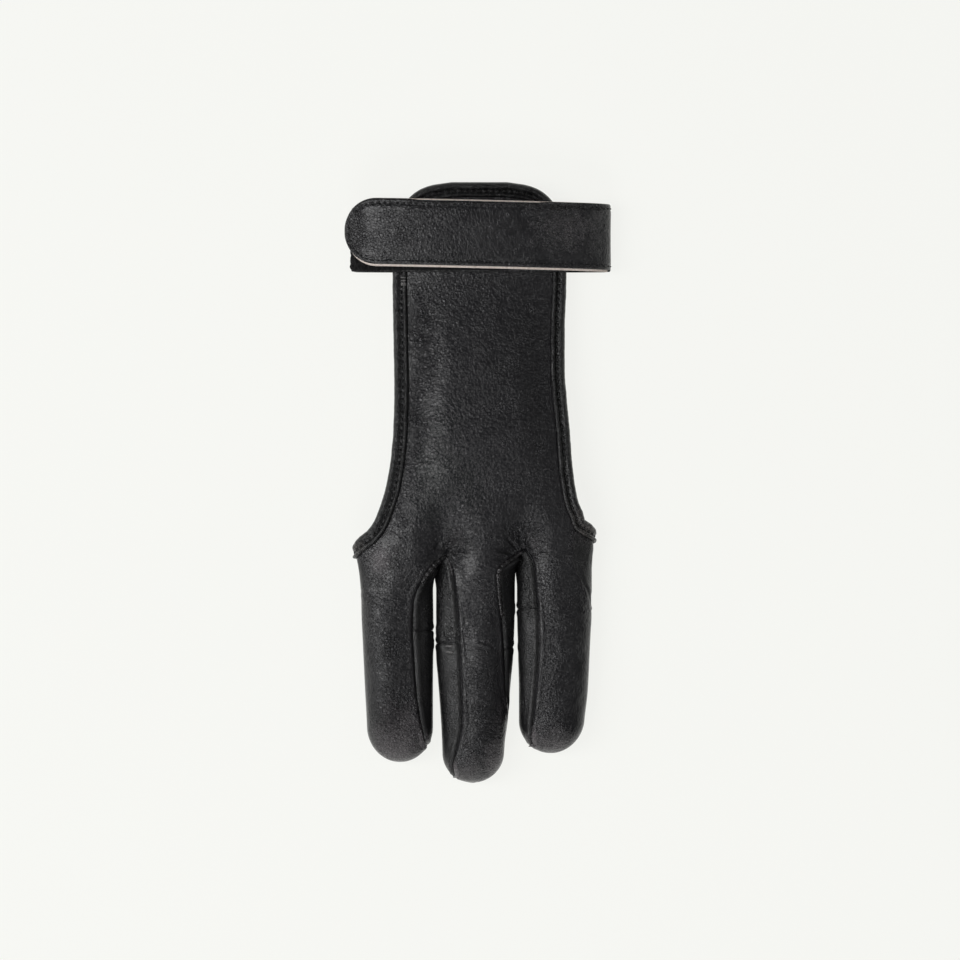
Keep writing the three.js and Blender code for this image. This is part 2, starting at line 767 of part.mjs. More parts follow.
function handNormal(y, angle) {
  const around = handPoint(y, angle + 2).sub(handPoint(y, angle - 2));
  const along = handPoint(y + 0.3, angle).sub(handPoint(y - 0.3, angle));
  return along.cross(around).normalize();
}

// The place on the hand's form that lies nearest to a point
function placeNear(target, y, angle) {
  const place = { y, angle };
  for (let pass = 0; pass < 6; pass++) {
    const here = handPoint(place.y, place.angle);
    const along = handPoint(place.y + 0.1, place.angle).sub(here).multiplyScalar(10);
    const around = handPoint(place.y, place.angle + 0.5).sub(here).multiplyScalar(2);
    const away = target.clone().sub(here);
    const [aa, ab, bb] = [along.dot(along), along.dot(around), around.dot(around)];
    const [ta, tb] = [along.dot(away), around.dot(away)];
    const scale = 1 / (aa * bb - ab * ab);
    place.y += (ta * bb - tb * ab) * scale;
    place.angle += (tb * aa - ta * ab) * scale;
  }
  return place;
}

// A ring of the binding, which is folded round the edge and follows the leather on both faces
function bindingRing({ y, angle, legs }, tangent) {
  const edge = handPoint(y, angle);
  const up = handNormal(y, angle);
  const away = tangent.clone().cross(up).normalize().negate();
  const beside = (reach) => {
    const place = placeNear(edge.clone().addScaledVector(away, -reach * legs), y, angle);
    return { point: handPoint(place.y, place.angle), up: handNormal(place.y, place.angle) };
  };
  const atEdge = { point: edge, up };
  const [topMiddle, topEnd] = [beside(bindingTopLeg / 2), beside(bindingTopLeg)];
  const [underMiddle, underEnd] = [beside(bindingUnderLeg / 2), beside(bindingUnderLeg)];
  const corner = (base, across, height) => {
    return base.point.clone().addScaledVector(away, across).addScaledVector(base.up, height);
  };
  const over = bindingSpace + bindingLeather;
  const under = -leather - bindingSpace;
  return [
    corner(topEnd, 0, over),
    corner(topMiddle, 0, over),
    corner(atEdge, 0.1, over),
    corner(atEdge, 0.8, over - 0.5),
    corner(atEdge, bindingReach, -leather / 2),
    corner(atEdge, 0.8, under - bindingLeather + 0.5),
    corner(atEdge, 0.1, under - bindingLeather),
    corner(underMiddle, 0, under - bindingLeather),
    corner(underEnd, 0, under - bindingLeather),
    corner(underEnd, 0, under),
    corner(underMiddle, 0, under),
    corner(atEdge, bindingSpace, under),
    corner(atEdge, bindingSpace, bindingSpace),
    corner(topMiddle, 0, bindingSpace),
    corner(topEnd, 0, bindingSpace),
  ];
}

function bindingGeometry() {
  const edge = openingEdge();
  const points = edge.map(({ y, angle }) => handPoint(y, angle));
  const rings = edge.map((place, i) => {
    const before = points[(i + points.length - 1) % points.length];
    const after = points[(i + 1) % points.length];
    return bindingRing(place, after.clone().sub(before));
  });
  const width = rings[0].length;
  const triangles = [];
  for (let i = 0; i < rings.length; i++) {
    const next = (i + 1) % rings.length;
    for (let j = 0; j < width; j++) {
      const side = (j + 1) % width;
      const [a, b, c, d] = [i * width + j, next * width + j, next * width + side, i * width + side];
      triangles.push([a, b, c], [a, c, d]);
    }
  }
  return geometryOf(rings.flat(), triangles);
}

// The strap's outer face in plan of X and Z: the inner run, the run under the wrist, and the flap
const strapLoop = () => ({
  middle: (strap.leftFold + strap.rightFold) / 2,
  half: (strap.rightFold - strap.leftFold) / 2,
  waist: strap.foldHeight,
  top: innerTop,
  bottom: 0,
});

function strapPath() {
  const loop = strapLoop();
  const flap = {
    ...loop,
    middle: (strap.flapSpread + strap.rightFold) / 2,
    half: (strap.rightFold - strap.flapSpread) / 2,
    top: flapTop,
  };
  const start = angleAtX(loop, strap.startPlace);
  const end = angleAtX(flap, strap.flapEnd);
  const innerShares = [0, 0.08, 0.18, 0.28, 0.38, 0.48, 0.58, 0.67, 0.76, 0.85, 0.92, 0.97, 1];
  const endShares = [0.82, 0.88, 0.93, 0.96, 0.982, 0.994, 1];
  const overShares = [0, 0.03, 0.08, 0.15, 0.26, 0.4, 0.54, 0.68, 0.77, ...endShares];
  const inner = innerShares.map((share) => ({ section: loop, angle: mix(start, 180, share) }));
  const under = [188, 197, 208, 222, 240, 262].map((angle) => ({ section: loop, angle }));
  const rise = [282, 302, 320, 336, 348, 356].map((angle) => ({ section: flap, angle }));
  const over = overShares.map((share) => ({ section: flap, angle: mix(360, 360 + end, share) }));
  return [...inner, ...under, ...rise, ...over].map(({ section, angle }) => {
    const { x, z } = onSection(section, angle);
    const flapped = angle > 360 ? (strap.rightFold - x) / (strap.rightFold - strap.flapEnd) : 0;
    return { x, z: z < strap.flat ? 0 : z, place: strapPlace + strap.flapRise * flapped };
  });
}

// Half the strap's width at a distance from its rounded end
function strapHalf(fromEnd) {
  const radius = strap.width / 2;
  const into = Math.min(radius, Math.max(fromEnd, 0.12));
  return Math.sqrt(radius * radius - (radius - into) ** 2);
}

// A layer that follows a path in X and Z: depth is below the path, half the half width at each point
function layerGeometry(path, { depth, thickness, half, frontSetIn }) {
  const normals = path.map((_, i) => {
    const before = path[Math.max(0, i - 1)];
    const after = path[Math.min(path.length - 1, i + 1)];
    return new THREE.Vector3(after.z - before.z, 0, before.x - after.x).normalize();
  });
  const columns = [-1, -1 / 3, 1 / 3, 1];
  const level = (down) => {
    return path.flatMap((point, i) => {
      return columns.map((share) => {
        const setIn = share === -1 ? frontSetIn * Math.min(1, (2 * half[i]) / strap.width) : 0;
        const place = new THREE.Vector3(point.x, point.place + share * half[i] + setIn, point.z);
        return place.addScaledVector(normals[i], -down);
      });
    });
  };
  const width = columns.length;
  const count = path.length * width;
  const triangles = [];
  for (let i = 0; i + 1 < path.length; i++) {
    for (let j = 0; j + 1 < width; j++) {
      const [a, b, c, d] = [i * width + j, (i + 1) * width + j, (i + 1) * width + j + 1, i * width + j + 1];
      triangles.push([a, c, b], [a, d, c]);
      triangles.push([a + count, b + count, c + count], [a + count, c + count, d + count]);
    }
  }
  const rows = path.map((_, i) => i * width);
  const last = rows.at(-1);
  const rim = [...rows, last + 1, last + 2, ...rows.map((row) => row + width - 1).reverse(), 2, 1];
  rim.forEach((a, i) => {
    const b = rim[(i + 1) % rim.length];
    triangles.push([a, b, b + count], [a, b + count, a + count]);
  });
  return geometryOf([...level(depth), ...level(depth + thickness)], triangles);
}

// One layer of the strap, from its depth below the outer face
function strapLayer(depth, thickness, frontSetIn) {
  const path = strapPath();
  const step = (i) => Math.hypot(path[i].x - path[i - 1].x, path[i].z - path[i - 1].z);
  const fromEnd = path.map(() => 0);
  for (let i = path.length - 1; i > 0; i--) fromEnd[i - 1] = fromEnd[i] + step(i);
  return layerGeometry(path, { depth, thickness, half: fromEnd.map(strapHalf), frontSetIn });
}

// The fastener lies on the inner run, under the flap
function tapeGeometry() {
  const loop = strapLoop();
  const places = [0, 0.12, 0.25, 0.38, 0.5, 0.62, 0.74, 0.85, 0.93, 1];
  const path = places.map((share) => {
    const angle = angleAtX(loop, mix(tape.right, tape.left, share));
    return { ...onSection(loop, angle), place: strapPlace };
  });
  const half = path.map(() => strap.width / 2 - tape.setIn);
  const depth = -seamGap - tape.thickness;
  return layerGeometry(path, { depth, thickness: tape.thickness, half, frontSetIn: 0 });
}

const materials = {
  leather: new THREE.MeshStandardMaterial({ color: 0x29292b, roughness: 0.5, metalness: 0 }),
  binding: new THREE.MeshStandardMaterial({ color: 0x232324, roughness: 0.55, metalness: 0 }),
  backing: new THREE.MeshStandardMaterial({ color: 0x3a3634, roughness: 0.8, metalness: 0 }),
  tape: new THREE.MeshStandardMaterial({ color: 0x161617, roughness: 0.95, metalness: 0 }),
};

const group = new THREE.Group();
function addPiece(name, geometry, material) {
  const mesh = new THREE.Mesh(geometry, material);
  mesh.name = name;
  group.add(mesh);
}

addPiece("back_leather", thicken(backSurface(), leather), materials.leather);
addPiece("palm_leather", thicken(palmSurface(), leather), materials.leather);
for (const [name, finger] of Object.entries(fingers)) {
  addPiece(`${name}_tip_pad`, thicken(padSurface(finger), leather), materials.leather);
}
addPiece("opening_binding", bindingGeometry(), materials.binding);
addPiece("wrist_strap", strapLayer(0, strap.outer, strap.rawEdge), materials.leather);
addPiece("strap_backing", strapLayer(strap.outer + seamGap, strap.backing, 0), materials.backing);
addPiece("fastener_tape", tapeGeometry(), materials.tape);

// Stands the glove on the floor, over the origin
const bounds = new THREE.Box3().setFromObject(group);
const centre = bounds.getCenter(new THREE.Vector3());
for (const mesh of group.children) mesh.geometry.translate(-centre.x, -centre.y, -bounds.min.z);

export default group;
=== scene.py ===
"""A three-finger archery glove of black leather, lying palm down with its strap closed.

Shapes are worked out in millimetres, from the crotch line where the fingers part: +X to the right,
+Y to the wrist, +Z up. They are moved into the frame when each piece is made.
"""

import math
from collections import namedtuple

import bpy
import numpy as np
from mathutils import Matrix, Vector


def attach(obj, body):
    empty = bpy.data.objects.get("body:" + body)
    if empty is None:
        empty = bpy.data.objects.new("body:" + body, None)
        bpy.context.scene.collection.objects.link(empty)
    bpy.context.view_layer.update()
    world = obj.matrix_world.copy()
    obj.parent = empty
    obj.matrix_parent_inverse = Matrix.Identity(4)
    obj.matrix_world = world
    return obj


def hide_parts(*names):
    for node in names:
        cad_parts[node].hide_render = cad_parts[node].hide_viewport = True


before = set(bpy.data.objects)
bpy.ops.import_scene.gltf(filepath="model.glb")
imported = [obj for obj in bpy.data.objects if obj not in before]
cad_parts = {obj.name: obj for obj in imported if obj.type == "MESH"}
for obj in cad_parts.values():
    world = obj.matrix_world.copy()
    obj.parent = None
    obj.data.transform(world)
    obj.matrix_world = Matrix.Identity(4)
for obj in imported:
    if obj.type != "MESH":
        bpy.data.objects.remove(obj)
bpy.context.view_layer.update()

# The drawing's place in the frame
DRAWING_CENTRE = np.array([0.75, 26.36, 0.0])

# Height at which leather that rests on the floor is pressed flat
ON_FLOOR = 0.02

# Leather and clearances
LEATHER = 1.2
SEAM_SPACE = 0.07
CROSS_SEAM_SPACE = 0.1

# How far the binding reaches over the leather at the palm rim, against elsewhere
PALM_LEGS = 0.62

# Hand
HAND_LENGTH = 133.2
WAIST_WIDTH = 59.0
TAB_END_WIDTH = 20.0
KNUCKLE_HEIGHT = 18.0
VALLEY_DEPTH = 4.2
VALLEY_WIDTH = 7.0
HAND_BLEND = 24.0
PANEL_MIDDLE = 1.4
FINGER_HEIGHT = 15.0
TIP_HEIGHT = 4.6
SIDE_SEAM = -35.0
TOP_POWER = 2.25
BOTTOM_POWER = 3.2
WALL_FADE = 7.0
CROTCH_INSET = 0.02

# Fingers. Rows are (share of the length from the crotch line, share of the width or angle)
RING = {
    "axis": -28.6, "width": 26.6, "length": 74.3, "cap": 12.6,
    "columns": 9, "right_wall": 4, "left_wall": 2, "pad_right": 0.355, "pad_left": 0.37,
    "outline_left": [(0, -0.54), (0.087, -0.5), (0.358, -0.46), (0.65, -0.42), (0.82, -0.395),
                     (1, -0.38)],
    "outline_right": [(0, 0.5), (0.087, 0.5), (0.358, 0.507), (0.65, 0.5), (0.82, 0.5), (1, 0.49)],
    "left_seam": ([], [(0, SIDE_SEAM), (0.84, SIDE_SEAM), (0.91, -55), (0.945, -90)]),
    "right_seam": (
        [(0, 0.676), (0.029, 0.56), (0.058, 0.486), (0.087, 0.426), (0.136, 0.338), (0.184, 0.275),
         (0.242, 0.24), (0.36, 0.23), (0.475, 0.25), (0.654, 0.284), (0.75, 0.319), (0.852, 0.374),
         (0.9, 0.4)],
        [(0.918, 0), (0.932, -45), (0.945, -90)],
    ),
}
MIDDLE = {
    "axis": 0.0, "width": 28.4, "length": 81.7, "cap": 10.4,
    "columns": 12, "right_wall": 4, "left_wall": 4, "pad_right": 0.405, "pad_left": 0.378,
    "outline_left": [(-0.03, -0.5), (0.194, -0.5), (0.432, -0.5), (0.546, -0.475), (0.696, -0.443),
                     (0.819, -0.424), (1, -0.41)],
    "outline_right": [(-0.03, 0.5), (0.194, 0.5), (0.432, 0.48), (0.546, 0.45), (0.696, 0.411),
                      (0.819, 0.373), (1, 0.34)],
    "left_seam": (
        [(0, -0.373), (0.031, -0.329), (0.062, -0.303), (0.154, -0.259), (0.233, -0.234),
         (0.352, -0.213), (0.432, -0.196), (0.634, -0.177), (0.731, -0.171), (0.802, -0.204),
         (0.863, -0.256), (0.92, -0.295), (0.95, -0.288), (0.968, -0.268)],
        [(0.974, 0), (0.979, -45), (0.985, -90)],
    ),
    "right_seam": (
        [(-0.026, 0.614), (-0.009, 0.551), (0.009, 0.475), (0.031, 0.386), (0.053, 0.316),
         (0.084, 0.285), (0.15, 0.294), (0.29, 0.339), (0.38, 0.36), (0.505, 0.377), (0.595, 0.385)],
        [(0.7, 0), (0.82, -30), (0.94, -55), (0.985, -90)],
    ),
}
INDEX = {
    "axis": 28.4, "width": 27.0, "length": 71.1, "cap": 11.6,
    "columns": 12, "right_wall": 4, "left_wall": 4, "pad_right": 0.285, "pad_left": 0.262,
    "outline_left": [(-0.03, -0.5), (0, -0.5), (0.06, -0.5), (0.223, -0.5), (0.476, -0.487),
                     (0.678, -0.473), (0.82, -0.473), (1, -0.46)],
    "outline_right": [(-0.03, 0.52), (0, 0.51), (0.06, 0.5), (0.223, 0.5), (0.476, 0.473),
                      (0.678, 0.447), (0.82, 0.405), (1, 0.36)],
    "left_seam": (
        [(-0.03, -0.407), (-0.012, -0.345), (0.05, -0.28), (0.127, -0.262), (0.231, -0.233),
         (0.284, -0.22), (0.435, -0.212), (0.58, -0.233), (0.684, -0.255), (0.785, -0.281),
         (0.891, -0.316), (0.92, -0.318), (0.952, -0.297)],
        [(0.96, 0), (0.967, -45), (0.975, -90)],
    ),
    "right_seam": (
        [(-0.222, 0.356), (-0.18, 0.315), (-0.142, 0.289), (0, 0.265), (0.06, 0.29), (0.12, 0.37),
         (0.18, 0.45)],
        [(0.26, 2), (0.36, -20), (0.5, SIDE_SEAM), (0.84, SIDE_SEAM), (0.93, -55), (0.975, -90)],
    ),
}
FINGERS = {"ring": RING, "middle": MIDDLE, "index": INDEX}

# Crotches between the fingers; saddle and palm are (ahead of the crotch line, share of the height)
CROTCHES = {
    "left": {"back": 0.0, "lobe_end": -10.0, "saddle": (5.2, 0.45), "palm": (4.2, 0.09)},
    "right": {"back": 2.12, "lobe_end": 11.0, "saddle": (3.8, 0.45), "palm": (4.2, 0.09)},
}
FINGER_START = -CROTCHES["left"]["palm"][0]
RIGHT_CROTCH = CROTCHES["right"]["back"]

# Hand sections by share of the hand's length: spread, crown, waist and floor
HAND_AT = [0, 0.03, 0.06, 0.1, 0.145, 0.19, 0.25, 0.34, 0.45, 0.6, 0.745, 1]
HAND_SPREAD = [1, 1, 0.97, 0.88, 0.76, 0.64, 0.5, 0.38, 0.33, 0.33, 0.34, 0.34]
HAND_CROWN = [1, 1, 0.99, 0.985, 0.97, 0.955, 0.93, 0.87, 0.78, 0.68, 0.622, 0.62]
HAND_WAIST = [0.47, 0.47, 0.48, 0.49, 0.5, 0.5, 0.5, 0.48, 0.45, 0.42, 0.4, 0.4]
HAND_FLOOR = [0.05, 0.067] + [0.07] * 10

# Edges of the back panel: (share of the hand's length, flare from the waist to the knuckles)
PANEL_EDGES = {
    "left": [(0.06, 0.69), (0.08, 0.545), (0.102, 0.44), (0.145, 0.3), (0.188, 0.19), (0.252, 0.09),
             (0.338, 0.02), (0.445, -0.005), (0.55, 0.01), (0.745, 0.04), (0.86, 0.03)],
    "right": [(0.1185, 0.56), (0.123, 0.53), (0.145, 0.43), (0.188, 0.325), (0.252, 0.23),
              (0.338, 0.16), (0.424, 0.065), (0.509, 0.005), (0.617, 0.01), (0.745, 0.06),
              (0.86, 0.03)],
}
LEFT_CORNER = 0.0095
RIGHT_CORNER = PANEL_EDGES["right"][0][0]
TAB_TURN = 0.97
CORNER_TURN = [(0, 1), (0.4, 0.55), (0.75, 0), (1, -1)]
TAB_ROUNDING = [(0.86, 0), (0.93, 0.13), (0.96, 0.27), (0.98, 0.44), (0.992, 0.65), (1, 1)]
PALM_RIM = [(-145, 0.0095), (-136, 0.022), (-120, 0.042), (-95, 0.057), (-70, 0.06), (-45, 0.055),
            (-30, 0.053), (-12, 0.058), (3, 0.07), (18, 0.086), (34, 0.106), (42, 0.1185)]

# Wrist strap
STRAP_WIDTH = 24.5
STRAP_PLACE = HAND_LENGTH - 18.7
STRAP_OUTER = 1.15
STRAP_LINING = 0.85
STRAP_START = 33.0
FLAP_END = -47.3
FLAP_RISE = 2.2
LEFT_FOLD = -44.5
RIGHT_FOLD = 48.8
FOLD_HEIGHT = 5.4
FLAP_SPREAD = -52.0
STRAP_FLAT = 0.6
RAW_EDGE = 0.62
INNER_TOP = 14.61
FLAP_TOP = 18.56
STITCH_INSET = 1.75
STITCH_PITCH = 2.3
STRAP_COLUMNS = 34

# Columns of the band across the palm: the index, middle and ring fingers' shares of it
BAND_COLUMNS = 17


# Form of the glove

Section = namedtuple("Section", "middle half waist top bottom")


def follow(rows, place):
    """Smooth curve through a table's rows, without overshoot"""
    at, height = np.array(rows, float).T
    step = np.diff(at)
    slope = np.diff(height) / step
    before, after = slope[:-1], slope[1:]
    same = before * after > 0
    inside = np.where(same, 2 * before * after / np.where(same, before + after, 1), 0)
    tangent = np.concatenate([slope[:1], inside, slope[-1:]])
    place = np.clip(place, at[0], at[-1])
    i = np.clip(np.searchsorted(at, place, side="right") - 1, 0, len(at) - 2)
    t = (place - at[i]) / step[i]
    rest = (1 - t) ** 2
    return (
        (1 + 2 * t) * rest * height[i]
        + t * rest * step[i] * tangent[i]
        + t * t * (3 - 2 * t) * height[i + 1]
        + t * t * (t - 1) * step[i] * tangent[i + 1]
    )


def mix(a, b, t):
    return a + (b - a) * t


def smooth(t):
    t = np.clip(t, 0, 1)
    return t * t * (3 - 2 * t)


def bell(distance, width):
    return np.exp(-((distance / width) ** 2))


def put(x, y, z):
    return np.stack(np.broadcast_arrays(x, y, z), -1)


def unit(vectors):
    return vectors / np.linalg.norm(vectors, axis=-1, keepdims=True)


def on_section(section, angle):
    """A point on a rounded section: 0 is its right side, 90 the top, 180 the left, -90 the bottom"""
    across, up = np.cos(np.radians(angle)), np.sin(np.radians(angle))
    power = np.where(up >= 0, TOP_POWER, BOTTOM_POWER)
    rise = np.where(up >= 0, section.top - section.waist, section.waist - section.bottom)
    x = section.middle + section.half * np.sign(across) * np.abs(across) ** (2 / power)
    return x, section.waist + rise * np.sign(up) * np.abs(up) ** (2 / power)


def angle_at_x(section, x, power=TOP_POWER):
    half = np.where(section.half > 1e-9, section.half, 1)
    share = np.clip((x - section.middle) / half, -1, 1)
    angle = np.degrees(np.arccos(np.sign(share) * np.abs(share) ** (power / 2)))
    return angle if power == TOP_POWER else -angle


def moved_angle(section, angle, distance):
    x0, z0 = on_section(section, angle - 1)
    x1, z1 = on_section(section, angle + 1)
    return angle + 2 * distance / np.maximum(np.hypot(x1 - x0, z1 - z0), 1e-6)


def finger_section(finger, y):
    at = -y / finger["length"]
    left = finger["axis"] + finger["width"] * follow(finger["outline_left"], at)
    right = finger["axis"] + finger["width"] * follow(finger["outline_right"], at)
    into = np.clip((finger["cap"] - finger["length"] - y) / finger["cap"], 0, 1)
    full = np.sqrt(1 - into * into)
    return Section(
        (left + right) / 2,
        (right - left) / 2 * full,
        mix(TIP_HEIGHT, FINGER_HEIGHT / 2, full),
        mix(TIP_HEIGHT, FINGER_HEIGHT, full),
        mix(TIP_HEIGHT, 0, full),
    )


def hand_section(y):
    at = np.maximum(0, y / HAND_LENGTH)
    spread = follow(list(zip(HAND_AT, HAND_SPREAD)), at)
    leftmost = RING["axis"] + RING["width"] * follow(RING["outline_left"], -y / RING["length"])
    rightmost = INDEX["axis"] + INDEX["width"] * follow(INDEX["outline_right"], -y / INDEX["length"])
    left = mix(PANEL_MIDDLE - WAIST_WIDTH / 2, leftmost, spread)
    right = mix(PANEL_MIDDLE + WAIST_WIDTH / 2, rightmost, spread)
    crown = KNUCKLE_HEIGHT * follow(list(zip(HAND_AT, HAND_CROWN)), at)
    waist = crown * follow(list(zip(HAND_AT, HAND_WAIST)), at)
    floor = crown * follow(list(zip(HAND_AT, HAND_FLOOR)), at)
    return Section((left + right) / 2, (right - left) / 2, waist, crown, floor)


def from_side(side, angle):
    return 180 - angle if side == "left" else angle


def seen_seam_x(finger, side, y):
    return finger["axis"] + finger["width"] * follow(finger[side + "_seam"][0], -y / finger["length"])


def seam_angle(finger, side, y):
    """Angle of a finger's seam above its silhouette"""
    seen, hidden = finger[side + "_seam"]
    at = -y / finger["length"]
    if not seen:
        return follow(hidden, at)
    last = seen[-1][0]

    def seen_angle(y):
        return from_side(side, angle_at_x(finger_section(finger, y), seen_seam_x(finger, side, y)))

    end = float(seen_angle(np.float64(-last * finger["length"])))
    seen_part = seen_angle(np.maximum(y, -last * finger["length"]))
    return np.where(at <= last, seen_part, follow([(last, end), *hidden], at))


def lobe_x(side, y):
    crotch = CROTCHES[side]
    meeting = seen_seam_x(MIDDLE, side, np.float64(crotch["back"]))
    return mix(meeting, crotch["lobe_end"], smooth((y - crotch["back"]) / (HAND_LENGTH / 2)))


def free_edge_angle(side, at):
    knuckle_left = RING["axis"] + RING["width"] * RING["outline_left"][0][1]
    knuckle_right = INDEX["axis"] + INDEX["width"] * INDEX["outline_right"][0][1]
    corner = PANEL_MIDDLE - knuckle_left if side == "left" else knuckle_right - PANEL_MIDDLE
    flat = mix(WAIST_WIDTH / 2, corner, follow(PANEL_EDGES[side], at))
    half = mix(flat, TAB_END_WIDTH / 2, follow(TAB_ROUNDING, at))
    x = PANEL_MIDDLE - half if side == "left" else PANEL_MIDDLE + half
    return from_side(side, angle_at_x(hand_section(at * HAND_LENGTH), x))


def panel_edge_angle(side, y):
    at = y / HAND_LENGTH
    start_at, left_start = PANEL_EDGES[side][0][0], PANEL_EDGES["left"][0][0]
    start = free_edge_angle(side, np.float64(start_at))
    share = follow(CORNER_TURN, (left_start - at) / (left_start - LEFT_CORNER))
    turned = np.where(share >= 0, start * share, -SIDE_SEAM * share)
    return np.where(at >= start_at - 1e-9, free_edge_angle(side, np.maximum(at, start_at)), turned)


def valley(x, y):
    total = 0
    for side, crotch in CROTCHES.items():
        away = x - lobe_x(side, np.float64(crotch["back"]))
        total = total + VALLEY_DEPTH * (1 - smooth(y / HAND_BLEND)) * bell(away, VALLEY_WIDTH)
    return total


def hand_point(y, angle):
    section = hand_section(y)
    x, z = on_section(section, angle)
    above = smooth((z - section.waist) / (section.top - section.waist))
    return put(x, y, z - valley(x, y) * above)


def finger_point(finger, y, angle):
    x, z = on_section(finger_section(finger, y), angle)
    return put(x, y, z)


def hand_angles(finger, y):
    """Edges of a finger's share of the back, as angles round the hand"""
    section = hand_section(y)

    def between(side, seam_side):
        seam_x = seen_seam_x(finger, seam_side, y)
        return angle_at_x(section, np.where(y >= CROTCHES[side]["back"], lobe_x(side, y), seam_x))

    if finger is RING:
        return 180 - panel_edge_angle("left", y), between("left", "right")
    if finger is MIDDLE:
        return between("left", "left"), between("right", "right")
    free = free_edge_angle("right", np.maximum(y / HAND_LENGTH, RIGHT_CORNER))
    sewn = angle_at_x(section, seen_seam_x(INDEX, "right", y))
    return between("right", "left"), np.where(y / HAND_LENGTH >= RIGHT_CORNER - 1e-9, free, sewn)


def back_point(finger, y, share):
    """A point of the back; share runs from the left edge of a finger's part of it to the right"""
    y = np.asarray(y, float)
    still_hand = smooth((y + HAND_BLEND) / (HAND_BLEND + FINGER_START))[..., None]
    left, right = hand_angles(finger, y)
    of_hand = hand_point(y, mix(left, right, share))
    left, right = 180 - seam_angle(finger, "left", y), seam_angle(finger, "right", y)
    return mix(finger_point(finger, y, mix(left, right, share)), of_hand, still_hand)


def curve_through(points, t):
    """Points at shares t along a smooth curve through three points"""
    a, b, c = points
    row = np.array([2 * a - b, a, b, c, 2 * c - b])
    root = np.sqrt(np.linalg.norm(np.diff(row, axis=0), axis=1))[:, None]
    i = np.clip(np.floor(2 * t).astype(int), 0, 1)
    w = (2 * t - i)[..., None]
    p0, p1, p2, p3 = (row[i + k] for k in range(4))
    d0, d1, d2 = (root[i + k] for k in range(3))
    t1 = ((p1 - p0) / d0 - (p2 - p0) / (d0 + d1) + (p2 - p1) / d1) * d1
    t2 = ((p2 - p1) / d1 - (p3 - p1) / (d1 + d2) + (p3 - p2) / d2) * d1
    return p1 + t1 * w + (3 * (p2 - p1) - 2 * t1 - t2) * w**2 + (2 * (p1 - p2) + t1 + t2) * w**3


def crotch_points(side):
    crotch = CROTCHES[side]
    left_finger, right_finger = (RING, MIDDLE) if side == "left" else (MIDDLE, INDEX)
    back = np.float64(crotch["back"])
    points = [hand_point(back, angle_at_x(hand_section(back), lobe_x(side, back)))]
    for ahead, height in (crotch["saddle"], crotch["palm"]):
        left = finger_point(left_finger, np.float64(-ahead), 0)
        right = finger_point(right_finger, np.float64(-ahead), 180)
        points.append(np.array([(left[0] + right[0]) / 2, -ahead, height * KNUCKLE_HEIGHT]))
    return points


CROTCH_CURVES = {side: crotch_points(side) for side in CROTCHES}


def crotch_start(finger, column):
    """Where the columns of the palm side begin in a crotch, and which of them do"""
    start = np.zeros(np.shape(column) + (3,))
    begins = np.zeros(np.shape(column), bool)
    from_left = finger["columns"] - column
    on_right = {"ring": "left", "middle": "right"}.get(name_of(finger))
    on_left = {"middle": "left", "index": "right"}.get(name_of(finger))
    for side, count, wall in ((on_right, column, "right_wall"), (on_left, from_left, "left_wall")):
        if side is None:
            continue
        here = count <= finger[wall] + 1e-9
        along = np.clip(mix(CROTCH_INSET, 1, count / finger[wall]), 0, 1)
        start = np.where(here[..., None], curve_through(CROTCH_CURVES[side], along), start)
        begins |= here
    return start, begins


def name_of(finger):
    return next(name for name, other in FINGERS.items() if other is finger)


def under_point(finger, y, column):
    """A point of the palm side; columns run from its right seam, under the finger, to its left"""
    section = finger_section(finger, y)
    right_seam, left_seam = seam_angle(finger, "right", y), -180 - seam_angle(finger, "left", y)
    near = (-SEAM_SPACE, 0, SEAM_SPACE)
    right_side = np.min([seam_angle(finger, "right", y + step) for step in near], axis=0)
    left_side = np.min([seam_angle(finger, "left", y + step) for step in near], axis=0)
    right = moved_angle(section, right_side, -SEAM_SPACE)
    left = moved_angle(section, -180 - left_side, SEAM_SPACE)
    angle = np.where(right > left, mix(right, left, column / finger["columns"]), -90)
    point = finger_point(finger, y, angle)
    near_hand = (y >= -HAND_BLEND)[..., None]
    for share, angle, wall, count in (
        (1, right_seam, "right_wall", column),
        (0, left_seam, "left_wall", finger["columns"] - column),
    ):
        weight = np.maximum(0, 1 - count / finger[wall])[..., None]
        apart = back_point(finger, y, share) - finger_point(finger, y, angle)
        point = point + np.where(near_hand, apart * weight, 0)
    return point


def gusset_point(finger, share, column):
    start, begins = crotch_start(finger, column)
    start_y = np.where(begins, start[..., 1], FINGER_START)
    end = mix(finger["pad_right"], finger["pad_left"], column / finger["columns"])
    y = mix(start_y, -end * finger["length"], share)
    fade = (1 - smooth((start_y - y) / WALL_FADE))[..., None]
    apart = start - under_point(finger, start_y, column)
    return under_point(finger, y, column) + np.where(begins[..., None], apart * fade, 0)


RIM_RIGHT = float(free_edge_angle("right", np.float64(RIGHT_CORNER)))


def rim_y(angle):
    return follow(PALM_RIM, angle) * HAND_LENGTH


def band_point(finger, column, across, share):
    """A point of the palm band, from where a column of the palm side begins (0) up to the rim (1)"""
    start = gusset_point(finger, 0 * share, column)
    rim_angle = mix(RIM_RIGHT, PALM_RIM[0][0], np.clip(across, 0, 1))
    y = mix(start[..., 1], rim_y(rim_angle), share)
    start_section = hand_section(start[..., 1])
    start_angle = angle_at_x(start_section, start[..., 0], BOTTOM_POWER)
    if finger is INDEX:
        seam = angle_at_x(start_section, seen_seam_x(INDEX, "right", start[..., 1]))
        turned = mix(seam, -45, column / INDEX["right_wall"])
        start_angle = np.where(column < INDEX["right_wall"], turned, start_angle)
    leave = start - hand_point(start[..., 1], start_angle)
    fade = (1 - smooth(share / 0.55))[..., None]
    return hand_point(y, mix(start_angle, rim_angle, share)) + leave * fade


